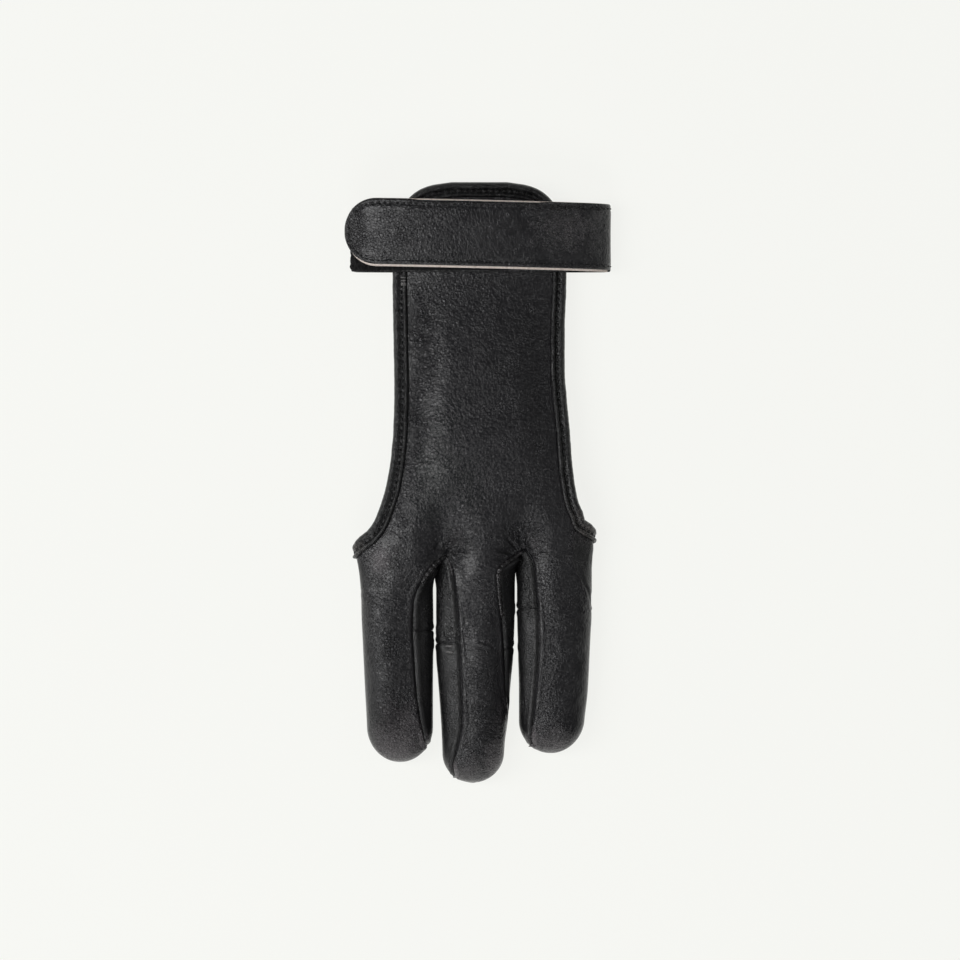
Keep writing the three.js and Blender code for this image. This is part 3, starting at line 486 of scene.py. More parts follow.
def hand_normal(y, angle):
    around = hand_point(y, angle + 2) - hand_point(y, angle - 2)
    along = hand_point(y + 0.3, angle) - hand_point(y - 0.3, angle)
    return unit(np.cross(along, around))


def place_near(target, y, angle):
    """The places on the hand's form that lie nearest to points"""
    for _ in range(7):
        here = hand_point(y, angle)
        along = (hand_point(y + 0.1, angle) - here) * 10
        around = (hand_point(y, angle + 0.5) - here) * 2
        away = target - here
        aa, ab, bb = (along * along).sum(-1), (along * around).sum(-1), (around * around).sum(-1)
        ta, tb = (along * away).sum(-1), (around * away).sum(-1)
        scale = 1 / (aa * bb - ab * ab)
        y = y + (ta * bb - tb * ab) * scale
        angle = angle + (tb * aa - ta * ab) * scale
    return y, angle


# Making meshes


def weld(grids):
    """Joins grids of points into one sheet of points and triangles; equal points are one point"""
    points = np.concatenate([grid.reshape(-1, 3) for grid in grids])
    triangles, start = [], 0
    for grid in grids:
        rows, columns = grid.shape[:2]
        number = start + np.arange(rows * columns).reshape(rows, columns)
        a, b, c, d = number[:-1, :-1], number[1:, :-1], number[1:, 1:], number[:-1, 1:]
        triangles += [np.stack([a, b, c], -1).reshape(-1, 3), np.stack([a, c, d], -1).reshape(-1, 3)]
        start += rows * columns
    _, first, same = np.unique(np.round(points * 400), axis=0, return_index=True, return_inverse=True)
    triangles = same.reshape(-1)[np.concatenate(triangles)]
    a, b, c = triangles.T
    return points[first], triangles[(a != b) & (b != c) & (a != c)]


def facing(points, triangles):
    """Unit normals at the points of a sheet"""
    a, b, c = (points[triangles[:, k]] for k in range(3))
    face = np.cross(b - a, c - a)
    normals = np.zeros_like(points)
    for k in range(3):
        for axis in range(3):
            normals[:, axis] += np.bincount(triangles[:, k], face[:, axis], len(points))
    return normals / np.maximum(np.linalg.norm(normals, axis=1, keepdims=True), 1e-12)


def thicken(points, triangles):
    """Gives a sheet of leather its thickness, inwards, and closes its edges"""
    count = len(points)
    sides = np.concatenate([triangles[:, [0, 1]], triangles[:, [1, 2]], triangles[:, [2, 0]]])
    forward = sides[:, 0] * count + sides[:, 1]
    edge = sides[~np.isin(forward, sides[:, 1] * count + sides[:, 0])]
    a, b = edge.T
    rim = np.concatenate([np.stack([a, a + count, b + count], 1), np.stack([a, b + count, b], 1)])
    everything = np.concatenate([triangles, triangles[:, ::-1] + count, rim])
    return np.concatenate([points, points - facing(points, triangles) * LEATHER]), everything


def piece(name, points, triangles, material, slot, stands_for=(), sharp=50, **marks):
    """Makes one piece of the glove from points in the drawing's millimetres"""
    mesh = bpy.data.meshes.new(name)
    points = (np.maximum(points, [-1e3, -1e3, ON_FLOOR]) - DRAWING_CENTRE) / 1000
    mesh.vertices.add(len(points))
    mesh.vertices.foreach_set("co", points.astype(np.float32).ravel())
    mesh.loops.add(triangles.size)
    mesh.loops.foreach_set("vertex_index", triangles.astype(np.int32).ravel())
    mesh.polygons.add(len(triangles))
    mesh.polygons.foreach_set("loop_start", np.arange(0, triangles.size, 3, dtype=np.int32))
    mesh.update(calc_edges=True)
    mesh.validate()
    mesh.shade_smooth()
    mesh.set_sharp_from_angle(angle=math.radians(sharp))
    for mark, values in marks.items():
        layer = mesh.attributes.new(mark, "FLOAT", "POINT")
        values = np.broadcast_to(values, (len(points),)).astype(np.float32)
        layer.data.foreach_set("value", values)
    mesh.materials.append(material)
    made = bpy.data.objects.new(name, mesh)
    bpy.context.collection.objects.link(made)
    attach(made, "root")
    if stands_for:
        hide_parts(*stands_for)


def leather_piece(name, sheet, triangles, finish, node, **marks):
    """A sheet made into a piece of leather, whose inner face takes the marks of the outer one"""
    marks = {mark: np.tile(values, 2) if np.ndim(values) else values for mark, values in marks.items()}
    piece(name, *thicken(sheet, triangles), finish, "black_leather", [node], **marks)


def frame_along(line):
    """Unit vectors sideways and upwards from a line of points"""
    ahead = unit(np.gradient(line, axis=0))
    side = unit(np.cross(ahead, [0.0, 0.0, 1.0]))
    return side, np.cross(side, ahead)


def swell(points, size, seed):
    """A soft uneven swell over points, about one high, with hollows about size apart"""
    draw = np.random.default_rng(seed)
    ways = draw.normal(size=(16, 3))
    ways *= 2 * math.pi / np.linalg.norm(ways, axis=1, keepdims=True)
    ways /= size * draw.uniform(0.7, 1.7, (16, 1))
    return np.sin(points @ ways.T + draw.uniform(0, 2 * math.pi, 16)).sum(1) / math.sqrt(8)


def away_from(points, line, reach=8.0):
    """Distance of points from a line of points, and the share of the line that is nearest"""
    distance, share = np.full(len(points), 1e3), np.zeros(len(points))
    low, high = line.min(0) - reach, line.max(0) + reach
    near = np.flatnonzero(((points > low) & (points < high)).all(1))
    for part in np.array_split(near, max(1, len(near) // 4000)):
        if not len(part):
            continue
        apart = np.linalg.norm(points[part, None] - line[None], axis=2)
        nearest = apart.argmin(1)
        # Between two points of the line, the distance is taken to the stretch that joins them
        best = apart[np.arange(len(part)), nearest]
        for step in (-1, 1):
            other = np.clip(nearest + step, 0, len(line) - 1)
            a, ab = line[nearest], line[other] - line[nearest]
            t = ((points[part] - a) * ab).sum(1) / np.maximum((ab * ab).sum(1), 1e-9)
            foot = a + np.clip(t, 0, 1)[:, None] * ab
            best = np.minimum(best, np.linalg.norm(points[part] - foot, axis=1))
        distance[part], share[part] = best, nearest / (len(line) - 1)
    return distance, share


def spread_evenly(line, step, closed=False):
    """Points every step along a line, in a whole number of steps"""
    line = np.concatenate([line, line[:1]]) if closed else line
    run = np.concatenate([[0], np.cumsum(np.linalg.norm(np.diff(line, axis=0), axis=1))])
    count = max(2, round(run[-1] / step))
    places = np.linspace(0, run[-1], count + 1)[: count if closed else None]
    return np.stack([np.interp(places, run, line[:, k]) for k in range(line.shape[1])], 1)


# Seams and creases


def seam_line(finger, side, start):
    """The line of a finger's seam, from the hand to the tip"""
    end = -finger[side + "_seam"][1][-1][0] * finger["length"]
    return back_point(finger, np.linspace(start, end, 260), 0.0 if side == "left" else 1.0)


SEAMS = {
    ("ring", "left"): seam_line(RING, "left", LEFT_CORNER * HAND_LENGTH),
    ("ring", "right"): seam_line(RING, "right", 0.0),
    ("middle", "left"): seam_line(MIDDLE, "left", 0.0),
    ("middle", "right"): seam_line(MIDDLE, "right", RIGHT_CROTCH),
    ("index", "left"): seam_line(INDEX, "left", RIGHT_CROTCH),
    ("index", "right"): seam_line(INDEX, "right", RIGHT_CORNER * HAND_LENGTH),
}
CROSS_SEAMS = {
    name: gusset_point(finger, np.ones(160), np.linspace(0, finger["columns"], 160))
    for name, finger in FINGERS.items()
}

# Creases in the leather of the back, in plan: from, through, to, width and depth
CREASES = [
    ((-12.7, 1.7), (-9.5, 5.0), (-3.0, 9.6), 0.8, 0.42),
    ((-11.6, 1.3), (-8.1, 3.8), (-4.3, 5.7), 0.7, 0.38),
    ((-13.7, 1.7), (-13.0, 4.4), (-9.5, 8.5), 0.8, 0.36),
    ((-9.5, 0.8), (-5.4, 1.7), (-1.2, 2.0), 0.8, 0.34),
    ((-14.7, 0.2), (-16.5, 2.2), (-16.8, 4.3), 0.7, 0.3),
    ((-15.8, -0.9), (-18.5, -0.2), (-21.3, -0.9), 0.8, 0.32),
    ((-16.5, -2.6), (-20.0, -3.0), (-23.5, -4.4), 0.9, 0.3),
    ((16.7, 2.6), (16.4, 5.5), (15.3, 9.6), 0.8, 0.42),
    ((17.8, 2.6), (18.5, 6.1), (19.9, 9.6), 0.7, 0.38),
    ((19.2, 1.9), (22.3, 4.4), (25.1, 6.5), 0.8, 0.36),
    ((19.6, 1.1), (23.7, 1.8), (27.9, 1.8), 0.7, 0.3),
    ((15.4, 1.9), (13.3, 4.5), (10.6, 6.8), 0.8, 0.36),
    ((14.0, 0.5), (10.5, 1.8), (7.0, 2.3), 0.9, 0.34),
    ((12.0, -1.5), (8.5, -0.8), (5.0, -1.2), 0.9, 0.3),
    ((-0.6, -8.1), (3.5, -9.5), (7.7, -9.2), 0.7, 0.34),
    ((-1.3, -12.6), (1.5, -13.3), (5.0, -12.6), 0.8, 0.26),
    ((-0.6, -14.7), (2.2, -14.0), (5.0, -15.0), 0.7, 0.24),
    ((-0.6, -30.7), (3.5, -31.0), (7.0, -33.4), 0.8, 0.3),
    ((-0.8, -32.2), (2.2, -33.0), (6.3, -34.3), 0.7, 0.26),
    ((-4.1, -19.0), (0.1, -20.0), (5.0, -19.0), 0.9, 0.22),
    ((-32.0, -29.7), (-27.8, -30.2), (-23.6, -29.7), 0.8, 0.3),
    ((-32.6, -28.0), (-29.2, -28.7), (-25.0, -28.0), 0.7, 0.22),
    ((-36.1, -13.3), (-31.3, -14.7), (-25.0, -13.3), 0.9, 0.26),
    ((-39.6, -14.7), (-37.5, -16.8), (-33.4, -18.8), 0.8, 0.26),
    ((-30.6, -21.6), (-26.4, -22.3), (-22.9, -20.9), 0.8, 0.22),
    ((-41.0, -12.6), (-38.9, -14.0), (-35.4, -13.6), 0.8, 0.26),
    ((24.4, -20.9), (28.6, -21.6), (32.8, -20.9), 0.8, 0.22),
    ((33.5, -21.6), (38.3, -23.0), (41.1, -23.4), 0.8, 0.26),
    ((23.7, -0.8), (27.9, -1.5), (31.4, -0.8), 0.8, 0.24),
    ((25.1, -37.6), (29.3, -36.9), (32.8, -37.6), 0.8, 0.22),
    ((33.5, -39.0), (37.0, -38.3), (40.4, -39.0), 0.8, 0.22),
    ((30.0, -21.6), (33.5, -24.4), (40.4, -24.4), 0.8, 0.22),
]


def bent_line(a, b, c):
    t = np.linspace(0, 1, 30)[:, None]
    a, b, c = map(np.array, (a, b, c))
    through = 2 * b - (a + c) / 2
    return (1 - t) ** 2 * a + 2 * t * (1 - t) * through + t**2 * c


def crease_relief(points):
    """Height of the creases over a sheet: a valley with a soft lip on both sides"""
    plan, height = points[:, :2], np.zeros(len(points))
    for a, b, c, width, depth in CREASES:
        distance, share = away_from(plan, bent_line(a, b, c), 4 * width)
        fade = np.sin(np.pi * np.clip(share, 0.04, 0.96)) ** 0.8
        lip = 0.6 * bell(distance - 1.5 * width, 0.8 * width)
        height += 0.9 * depth * fade * (lip - bell(distance, 0.65 * width))
    return height


def seam_relief(points, at_crotch):
    """Height beside the seams: the leather turns down into them, with a soft roll beside each"""
    height = np.zeros(len(points))
    for (name, side), line in SEAMS.items():
        distance, share = away_from(points, line)
        from_crotch = share * FINGERS[name]["length"]
        flat = 0.45 if (name, side) == ("index", "right") else 1.0
        roll = 0.24 + at_crotch * bell(from_crotch, 11) * (share > 0)
        height += flat * (roll * bell(distance - 1.4, 0.75) - 0.42 * bell(distance, 0.42))
    return height


def cross_seam_relief(points):
    """Height beside the cross seams, with a pucker at each stitch"""
    height = np.zeros(len(points))
    for name, line in CROSS_SEAMS.items():
        distance, share = away_from(points, line)
        wave = np.sin(share * FINGERS[name]["columns"] * 3.1 * 2) * bell(distance - 1.5, 1.6)
        height += 0.22 * bell(distance - 1.4, 0.7) - 0.22 * bell(distance, 0.4) + 0.16 * wave
    return height


# Patches in plan: x, y, across, along and how much at the middle
# The first table is rubbed wear at the fingertips and the panel's corners, where the tips are also paler as
# painted sheen; its spots over both crotches, where wrinkles catch the light, and on the panel's left side
# are painted sheen
WORN_SPOTS = [
    (-28.5, -70.0, 11.0, 14.85, 0.75),
    (-25.0, -62.0, 8.0, 10.8, 0.6),
    (-30.5, -56.0, 8.0, 10.8, 0.35),
    (8.8, -74.0, 7.0, 9.45, 0.75),
    (-2.0, -79.0, 7.0, 9.45, 0.55),
    (9.5, -58.0, 7.0, 9.45, 0.3),
    (28.0, -71.0, 8.0, 10.8, 0.6),
    (21.5, -66.0, 6.0, 8.1, 0.45),
    (37.0, -68.0, 6.0, 8.1, 0.3),
    (-34.2, -1.5, 4.5, 6.075, 0.75),
    (-6.6, 6.0, 4.5, 6.075, 0.36),
    (20.5, 5.4, 4.5, 6.075, 0.34),
    (39.0, 6.2, 4.0, 5.4, 0.7),
    (-20.0, 60.0, 10.0, 13.5, 0.12),
]
CREASED_SPOTS = [
    (18.0, 38.0, 15.0, 34.0, 0.6),
    (0.0, 18.0, 22.0, 10.0, 0.5),
    (1.0, -22.0, 8.0, 20.0, 0.45),
    (-28.0, -24.0, 9.0, 16.0, 0.35),
    (31.0, -24.0, 9.0, 18.0, 0.2),
    (-29.0, -60.0, 10.0, 20.0, 0.95),
    (4.0, -58.0, 8.0, 26.0, 0.85),
    (29.0, -62.0, 8.0, 12.0, 0.4),
    (-7.0, 6.5, 7.0, 5.0, 0.8),
    (20.0, 5.5, 7.0, 5.0, 0.75),
    (35.0, 92.0, 14.0, 10.0, 0.3),
]
BACK_GRAIN = [
    (-18.0, 78.0, 6.5, 26.0, 1.0),
    (-21.0, 50.0, 6.0, 22.0, 0.85),
    (20.0, 84.0, 7.0, 16.0, 0.7),
    (19.0, 40.0, 14.0, 32.0, 0.75),
    (-6.0, 6.0, 9.0, 9.0, 0.9),
    (16.0, 8.0, 12.0, 10.0, 0.8),
    (-31.0, -6.0, 10.0, 12.0, 0.6),
    (-30.5, -30.0, 6.0, 18.0, 1.0),
    (-29.0, -62.0, 12.0, 18.0, 1.5),
    (2.0, -18.0, 7.0, 16.0, 0.95),
    (2.0, -48.0, 6.0, 22.0, 0.85),
    (4.0, -74.0, 11.0, 10.0, 1.35),
    (31.5, -30.0, 5.0, 36.0, 0.42),
    (28.0, -67.0, 11.0, 7.0, 1.1),
    (1.0, 92.0, 14.0, 7.0, 0.5),
]
STRAP_GRAIN = [
    (-43.0, 117.0, 5.0, 12.0, 1.0),
    (-28.0, 117.0, 9.0, 12.0, 0.75),
    (30.0, 120.0, 9.0, 12.0, 1.5),
    (44.0, 116.0, 7.0, 14.0, 1.2),
    (5.0, 116.0, 12.0, 9.0, 0.5),
]
BINDING_WORN = [(40.5, 9.5, 4.0, 4.0, 0.7), (37.0, 14.0, 5.0, 5.0, 0.45), (-42.5, 2.5, 3.5, 3.5, 0.6)]
# Painted sheen: a pale patch on the strap's right part
STRAP_WORN = [(33.0, 118.0, 12.8, 8.0, 0.34)]


def patchy(points, patches, least=0.0):
    """An amount that swells softly over each patch"""
    amount = np.full(len(points), least)
    for x, y, wide, long, strength in patches:
        away = np.hypot((points[:, 0] - x) / wide, (points[:, 1] - y) / long)
        amount = np.maximum(amount, strength * bell(away, 1.0))
    return amount


def worn_tips(points):
    """How pale the leather is made: rubbed wear most at the fingertips and the panel's corners, with painted
    sheen in spots, and painted highlights beside the ends of seams at the tips
    """
    worn = patchy(points, WORN_SPOTS)
    # Beside the seams' ends at the fingertips the pale strips are painted highlights
    for seam, start in ((("ring", "right"), 0.84), (("middle", "left"), 0.87), (("index", "left"), 0.85)):
        distance, share = away_from(points, SEAMS[seam])
        worn = np.maximum(worn, 1.25 * bell(distance - 1.3, 1.1) * smooth((share - start) / 0.1))
    return worn


# Finishes


def add(tree, kind, inputs=None, **settings):
    """Adds a node with its settings and inputs, a value or another node's output for each"""
    node = tree.nodes.new("ShaderNode" + kind)
    for key, value in settings.items():
        setattr(node, key, value)
    for key, value in (inputs or {}).items():
        if isinstance(value, bpy.types.NodeSocket):
            tree.links.new(value, node.inputs[key])
        else:
            node.inputs[key].default_value = value
    return node


def maths(tree, operation, *values, clamp=False):
    node = add(tree, "Math", dict(enumerate(values)), operation=operation, use_clamp=clamp)
    return node.outputs[0]


def ranged(tree, value, low, high, out_low=0.0, out_high=1.0, **settings):
    inputs = {"Value": value, "From Min": low, "From Max": high, "To Min": out_low, "To Max": out_high}
    return add(tree, "MapRange", inputs, **settings).outputs[0]


def blended(tree, factor, *colours):
    a, b = ((*colour, 1) if isinstance(colour, tuple) else colour for colour in colours)
    return add(tree, "Mix", {0: factor, 6: a, 7: b}, data_type="RGBA").outputs[2]


def noise(tree, place, scale, detail, roughness=0.5, distortion=0.0, output=0):
    inputs = {"Vector": place, "Scale": scale, "Detail": detail, "Roughness": roughness}
    return add(tree, "TexNoise", {**inputs, "Distortion": distortion}).outputs[output]


def cells(tree, place, scale, feature):
    return add(tree, "TexVoronoi", {"Vector": place, "Scale": scale}, feature=feature).outputs["Distance"]


def vectors(tree, operation, a, b):
    second = "Scale" if operation == "SCALE" else 1
    return add(tree, "VectorMath", {0: a, second: b}, operation=operation).outputs[0]


def from_half(tree, value):
    """How far a noise's value is from its middle"""
    return maths(tree, "ABSOLUTE", maths(tree, "SUBTRACT", value, 0.5))


def millimetres(tree):
    """The place on a piece in millimetres"""
    return vectors(tree, "SCALE", add(tree, "TexCoord").outputs["Object"], 1000.0)


def new_group(name, **inputs):
    """A node group and the outputs of its input node"""
    group = bpy.data.node_groups.new(name, "ShaderNodeTree")
    for label, default in inputs.items():
        socket = group.interface.new_socket(name=label, in_out="INPUT", socket_type="NodeSocketFloat")
        socket.default_value = default
    return group, group.nodes.new("NodeGroupInput").outputs


def closed_group(group, **results):
    """The group with its results linked to its outputs"""
    for label in results:
        group.interface.new_socket(name=label, in_out="OUTPUT", socket_type="NodeSocketFloat")
    out = group.nodes.new("NodeGroupOutput")
    for label, value in results.items():
        group.links.new(value, out.inputs[label])
    return group


def make_grain():
    """Pebbled leather grain: the height of it, painted shade in the pits between the pebbles, painted
    highlight on the pebbles' tops, and soft mottling
    """
    group, given = new_group("leather grain", Pebble=1.0, Depth=1.0, Creases=0.0)
    place = millimetres(group)
    warp = noise(group, place, 0.7, 3.0, 0.6, output="Color")
    pushed = vectors(group, "SCALE", vectors(group, "SUBTRACT", warp, (0.5, 0.5, 0.5)), 1.6)
    bent = vectors(group, "ADD", place, pushed)

    coarse_scale, fine_scale, fold_scale = (
        maths(group, "DIVIDE", scale, given["Pebble"]) for scale in (0.9, 1.7, 0.42)
    )
    coarse = cells(group, bent, coarse_scale, "F1")
    fine = cells(group, bent, fine_scale, "F1")
    folds = ranged(group, from_half(group, noise(group, bent, fold_scale, 2.0, 0.55)), 0.0, 0.05)
    cracks = ranged(group, cells(group, bent, coarse_scale, "DISTANCE_TO_EDGE"), 0.0, 0.16)

    stretched = add(group, "Mapping", {"Vector": bent, "Scale": (0.16, 0.7, 0.5)}).outputs[0]
    lines = ranged(group, cells(group, stretched, 1.0, "DISTANCE_TO_EDGE"), 0.0, 0.2)
    line_drop = maths(group, "MULTIPLY", maths(group, "SUBTRACT", lines, 1.0), given["Creases"])

    mottle = noise(group, place, 0.16, 4.0, 0.65)
    amount = maths(group, "MULTIPLY", ranged(group, mottle, 0.38, 0.62, 0.45, 1.15), given["Depth"])
    height = maths(group, "MULTIPLY", coarse, -0.95)
    for part, strength in ((fine, -0.35), (folds, 0.3), (cracks, 0.3)):
        height = maths(group, "MULTIPLY_ADD", part, strength, height)
    height = maths(group, "MULTIPLY", height, amount)
    height = maths(group, "MULTIPLY_ADD", line_drop, 0.5, height)
    # Painted shade: darker in the cracks between the pebbles
    pits = maths(group, "MULTIPLY", maths(group, "SUBTRACT", 1.0, cracks), amount)
    # Painted highlight: lighter on the pebbles' tops
    tops = maths(group, "MULTIPLY", ranged(group, coarse, 0.5, 0.12), amount)
    return closed_group(group, Height=height, Pits=pits, Tops=tops, Mottle=mottle)


def make_fans():
    """Wrinkles that fan out from the crotches between the fingers"""
    group, _ = new_group("crotch wrinkles")
    place = millimetres(group)
    folds = []
    for x, y, reach in ((-11.3, -25.4, 9.0), (16.6, -24.9, 8.5)):
        flat = vectors(group, "MULTIPLY", vectors(group, "SUBTRACT", place, (x, y, 0.0)), (1.0, 1.0, 0.0))
        parts = add(group, "SeparateXYZ", {0: flat}).outputs
        distance = add(group, "VectorMath", {0: flat}, operation="LENGTH").outputs["Value"]
        turn = maths(group, "MULTIPLY", maths(group, "ARCTAN2", parts[0], parts[1]), 3.1)
        spot = add(group, "CombineXYZ", {0: turn, 1: maths(group, "MULTIPLY", distance, 0.13), 2: x})
        wave = noise(group, spot.outputs[0], 1.0, 2.0)
        fold = ranged(group, from_half(group, wave), 0.0, 0.11)
        near = ranged(group, distance, 1.5, reach, 1.0, 0.0, interpolation_type="SMOOTHSTEP")
        folds.append(maths(group, "MULTIPLY", fold, near))
    return closed_group(group, Height=maths(group, "ADD", *folds))


def make_wear():
    """Pale rubbed leather and painted sheen: where the finish has gone and where sheen is painted, in a
    crackle that spreads with wear
    """
    group, given = new_group("rubbed leather", Worn=0.0, Crackle=1.0)
    place = millimetres(group)
    bent = vectors(group, "ADD", place, noise(group, place, 0.8, 3.0, output="Color"))
    crackle = ranged(group, cells(group, bent, 1.05, "DISTANCE_TO_EDGE"), 0.02, 0.2)
    speck = maths(group, "MULTIPLY", noise(group, place, 1.5, 3.0, 0.7), 0.7)
    gone = maths(group, "MULTIPLY_ADD", noise(group, place, 0.32, 5.0, 0.7), 0.9, speck)
    patch = ranged(group, maths(group, "ADD", gone, given["Worn"]), 1.05, 1.6)
    # The crackle shows fully where Crackle is 1, and not at all where it is 0
    shown = maths(group, "MULTIPLY_ADD", maths(group, "SUBTRACT", crackle, 1.0), given["Crackle"], 1.0)
    return closed_group(group, Mask=maths(group, "MULTIPLY", patch, shown), Haze=patch)


GRAIN = make_grain()
WEAR = make_wear()
FANS = make_fans()


def new_material(name):
    material = bpy.data.materials.new(name)
    material.use_nodes = True
    tree = material.node_tree
    tree.nodes.clear()
    shader = add(tree, "BsdfPrincipled")
    add(tree, "OutputMaterial", {"Surface": shader.outputs[0]})
    return material, tree, shader.inputs


def complete(tree, sockets, base, rough, height, distance, strength=1.0, specular=0.5):
    """Gives a material its colour, roughness, shine and bumps"""
    bumped = add(tree, "Bump", {"Strength": strength, "Distance": distance, "Height": height})
    for name, value in (("Base Color", base), ("Roughness", rough), ("Normal", bumped.outputs[0])):
        tree.links.new(value, sockets[name])
    sockets["Specular IOR Level"].default_value = specular


def leather_finish(name, tones, rough, pebble=1.0, depth=1.0, bump=0.14, crackle=1.0, fans=0.0):
    """Black grained leather, with painted highlight on the pebbles' tops and painted shade in their pits,
    made pale where the piece is marked for wear and for painted sheen
    """
    colour, light, worn_colour = tones
    material, tree, sockets = new_material(name)
    worn, creased, stands_out = (
        add(tree, "Attribute", attribute_name=mark).outputs["Fac"] for mark in ("worn", "creased", "grained")
    )
    deep = maths(tree, "MULTIPLY", stands_out, depth)
    grain_inputs = {"Pebble": pebble, "Depth": deep, "Creases": creased}
    grain = add(tree, "Group", grain_inputs, node_tree=GRAIN).outputs
    wear = add(tree, "Group", {"Worn": worn, "Crackle": crackle}, node_tree=WEAR).outputs
    base = blended(tree, ranged(tree, grain["Mottle"], 0.35, 0.7), colour, light)
    # Painted highlight on the pebbles' tops
    tops = maths(tree, "MULTIPLY", grain["Tops"], 0.45, clamp=True)
    base = blended(tree, tops, base, tuple(2.2 * c for c in light))
    # Painted shade in the pits between the pebbles
    pits = maths(tree, "MULTIPLY", grain["Pits"], 0.45, clamp=True)
    base = blended(tree, pits, base, tuple(0.3 * c for c in colour))
    # Pale where the leather is rubbed, and where sheen and highlights are painted
    base = blended(tree, maths(tree, "MULTIPLY", wear["Mask"], 0.85), base, worn_colour)
    roughness = ranged(tree, grain["Mottle"], 0.3, 0.7, rough + 0.06, rough - 0.05)
    roughness = maths(tree, "MULTIPLY_ADD", grain["Tops"], -0.05, roughness)
    roughness = maths(tree, "MULTIPLY_ADD", wear["Haze"], 0.02, roughness, clamp=True)
    height = grain["Height"]
    if fans:
        wrinkles = add(tree, "Group", node_tree=FANS).outputs[0]
        height = maths(tree, "MULTIPLY_ADD", wrinkles, fans, height)
    complete(tree, sockets, base, roughness, height, bump / 1000)
    return material


def lining_finish():
    """The strap's second leather: black faces and a pale raw edge where the piece is marked raw"""
    material, tree, sockets = new_material("strap lining leather")
    raw = add(tree, "Attribute", attribute_name="raw").outputs["Fac"]
    place = millimetres(tree)
    fibre = noise(tree, place, 2.2, 5.0, 0.75)
    blotch = ranged(tree, noise(tree, place, 0.35, 3.0), 0.56, 0.72, 0.0, 0.5)
    edge = blended(tree, ranged(tree, fibre, 0.35, 0.7), (0.66, 0.54, 0.47), (1.0, 0.94, 0.88))
    edge = blended(tree, blotch, edge, (0.12, 0.07, 0.05))
    face = blended(tree, ranged(tree, fibre, 0.3, 0.7), (0.012, 0.012, 0.012), (0.03, 0.028, 0.027))
    base = blended(tree, ranged(tree, raw, 0.35, 0.6), face, edge)
    rough = ranged(tree, fibre, 0.3, 0.7, 0.7, 0.9)
    complete(tree, sockets, base, rough, fibre, 0.0002, 0.8, 0.25)
    return material


def fastener_finish():
    """The black brushed loops of the fastener"""
    material, tree, sockets = new_material("fastener loops")
    place = millimetres(tree)
    curls = noise(tree, place, 1.5, 6.0, 0.8, 2.5)
    base = blended(tree, ranged(tree, curls, 0.35, 0.7), (0.002, 0.002, 0.002), (0.012, 0.012, 0.013))
    rough = ranged(tree, curls, 0.3, 0.7, 0.85, 1.0)
    height = maths(tree, "MULTIPLY_ADD", cells(tree, place, 2.4, "SMOOTH_F1"), -0.7, curls)
    sockets["Sheen Weight"].default_value = 0.04
    sockets["Sheen Roughness"].default_value = 0.6
    complete(tree, sockets, base, rough, height, 0.0007, specular=0.2)
    return material


def thread_finish(name, dark, light, rough):
    """Waxed sewing thread, with the twist of its strands"""
    material, tree, sockets = new_material(name)
    place = millimetres(tree)
    wave = {"Vector": place, "Scale": 1.1, "Distortion": 1.5, "Detail": 1.0}
    twist = add(tree, "TexWave", wave, bands_direction="DIAGONAL").outputs["Fac"]
    fuzz = noise(tree, place, 3.0, 3.0)
    base = blended(tree, ranged(tree, fuzz, 0.35, 0.65), dark, light)
    roughness = ranged(tree, fuzz, 0.3, 0.7, rough - 0.08, rough + 0.1)
    complete(tree, sockets, base, roughness, twist, 0.0001, 0.7)
    return material


BLACK = (0.0078, 0.0075, 0.0089)
BLACK_LIGHT = (0.0118, 0.0113, 0.0132)
PLAIN_BLACK = (0.0056, 0.0056, 0.0061)
PLAIN_LIGHT = (0.0086, 0.0086, 0.0091)
# Pale colour of rubbed leather, which also paints sheen and highlights
RUBBED = (0.150, 0.136, 0.143)
RUBBED_EDGE = (0.11, 0.098, 0.092)
GLAZED = (BLACK, BLACK_LIGHT, RUBBED)
PLAIN = (PLAIN_BLACK, PLAIN_LIGHT, RUBBED)
BOUND = (PLAIN_BLACK, PLAIN_LIGHT, RUBBED_EDGE)
back_finish = leather_finish("glove leather", GLAZED, 0.19, bump=0.36, crackle=0.6, fans=-0.7)
palm_finish = leather_finish("palm leather", PLAIN, 0.3, 0.8, 0.8, bump=0.24)
welt_finish = leather_finish("welt leather", PLAIN, 0.12, 0.6, 0.5, bump=0.12)
pad_finish = leather_finish("fingertip pad leather", PLAIN, 0.32, 0.7, 0.7, bump=0.24)
binding_finish = leather_finish("binding leather", BOUND, 0.18, 0.6, 0.8, 0.24)
strap_finish = leather_finish("strap leather", GLAZED, 0.18, 0.9, bump=0.32)
lining = lining_finish()
loops = fastener_finish()
thread = thread_finish("waxed thread", (0.002, 0.002, 0.002), (0.008, 0.008, 0.009), 0.38)
# The tack thread's pale colour is painted glints on the tacks
tack_thread = thread_finish("tack thread", (0.1, 0.1, 0.105), (0.3, 0.29, 0.28), 0.25)


# The back of the glove


def lobe_shares(count):
    """Places across a finger's part of the back, closer together beside the seams"""
    u = np.linspace(0, 1, count)
    return mix(u, (1 - np.cos(np.pi * u)) / 2, 0.75)


def joined(*parts):
    """Rows from several stretches, with the places where they meet kept once"""
    rows = np.concatenate([np.linspace(*part) for part in parts])
    return rows[np.concatenate([[True], np.abs(np.diff(rows)) > 1e-9])]


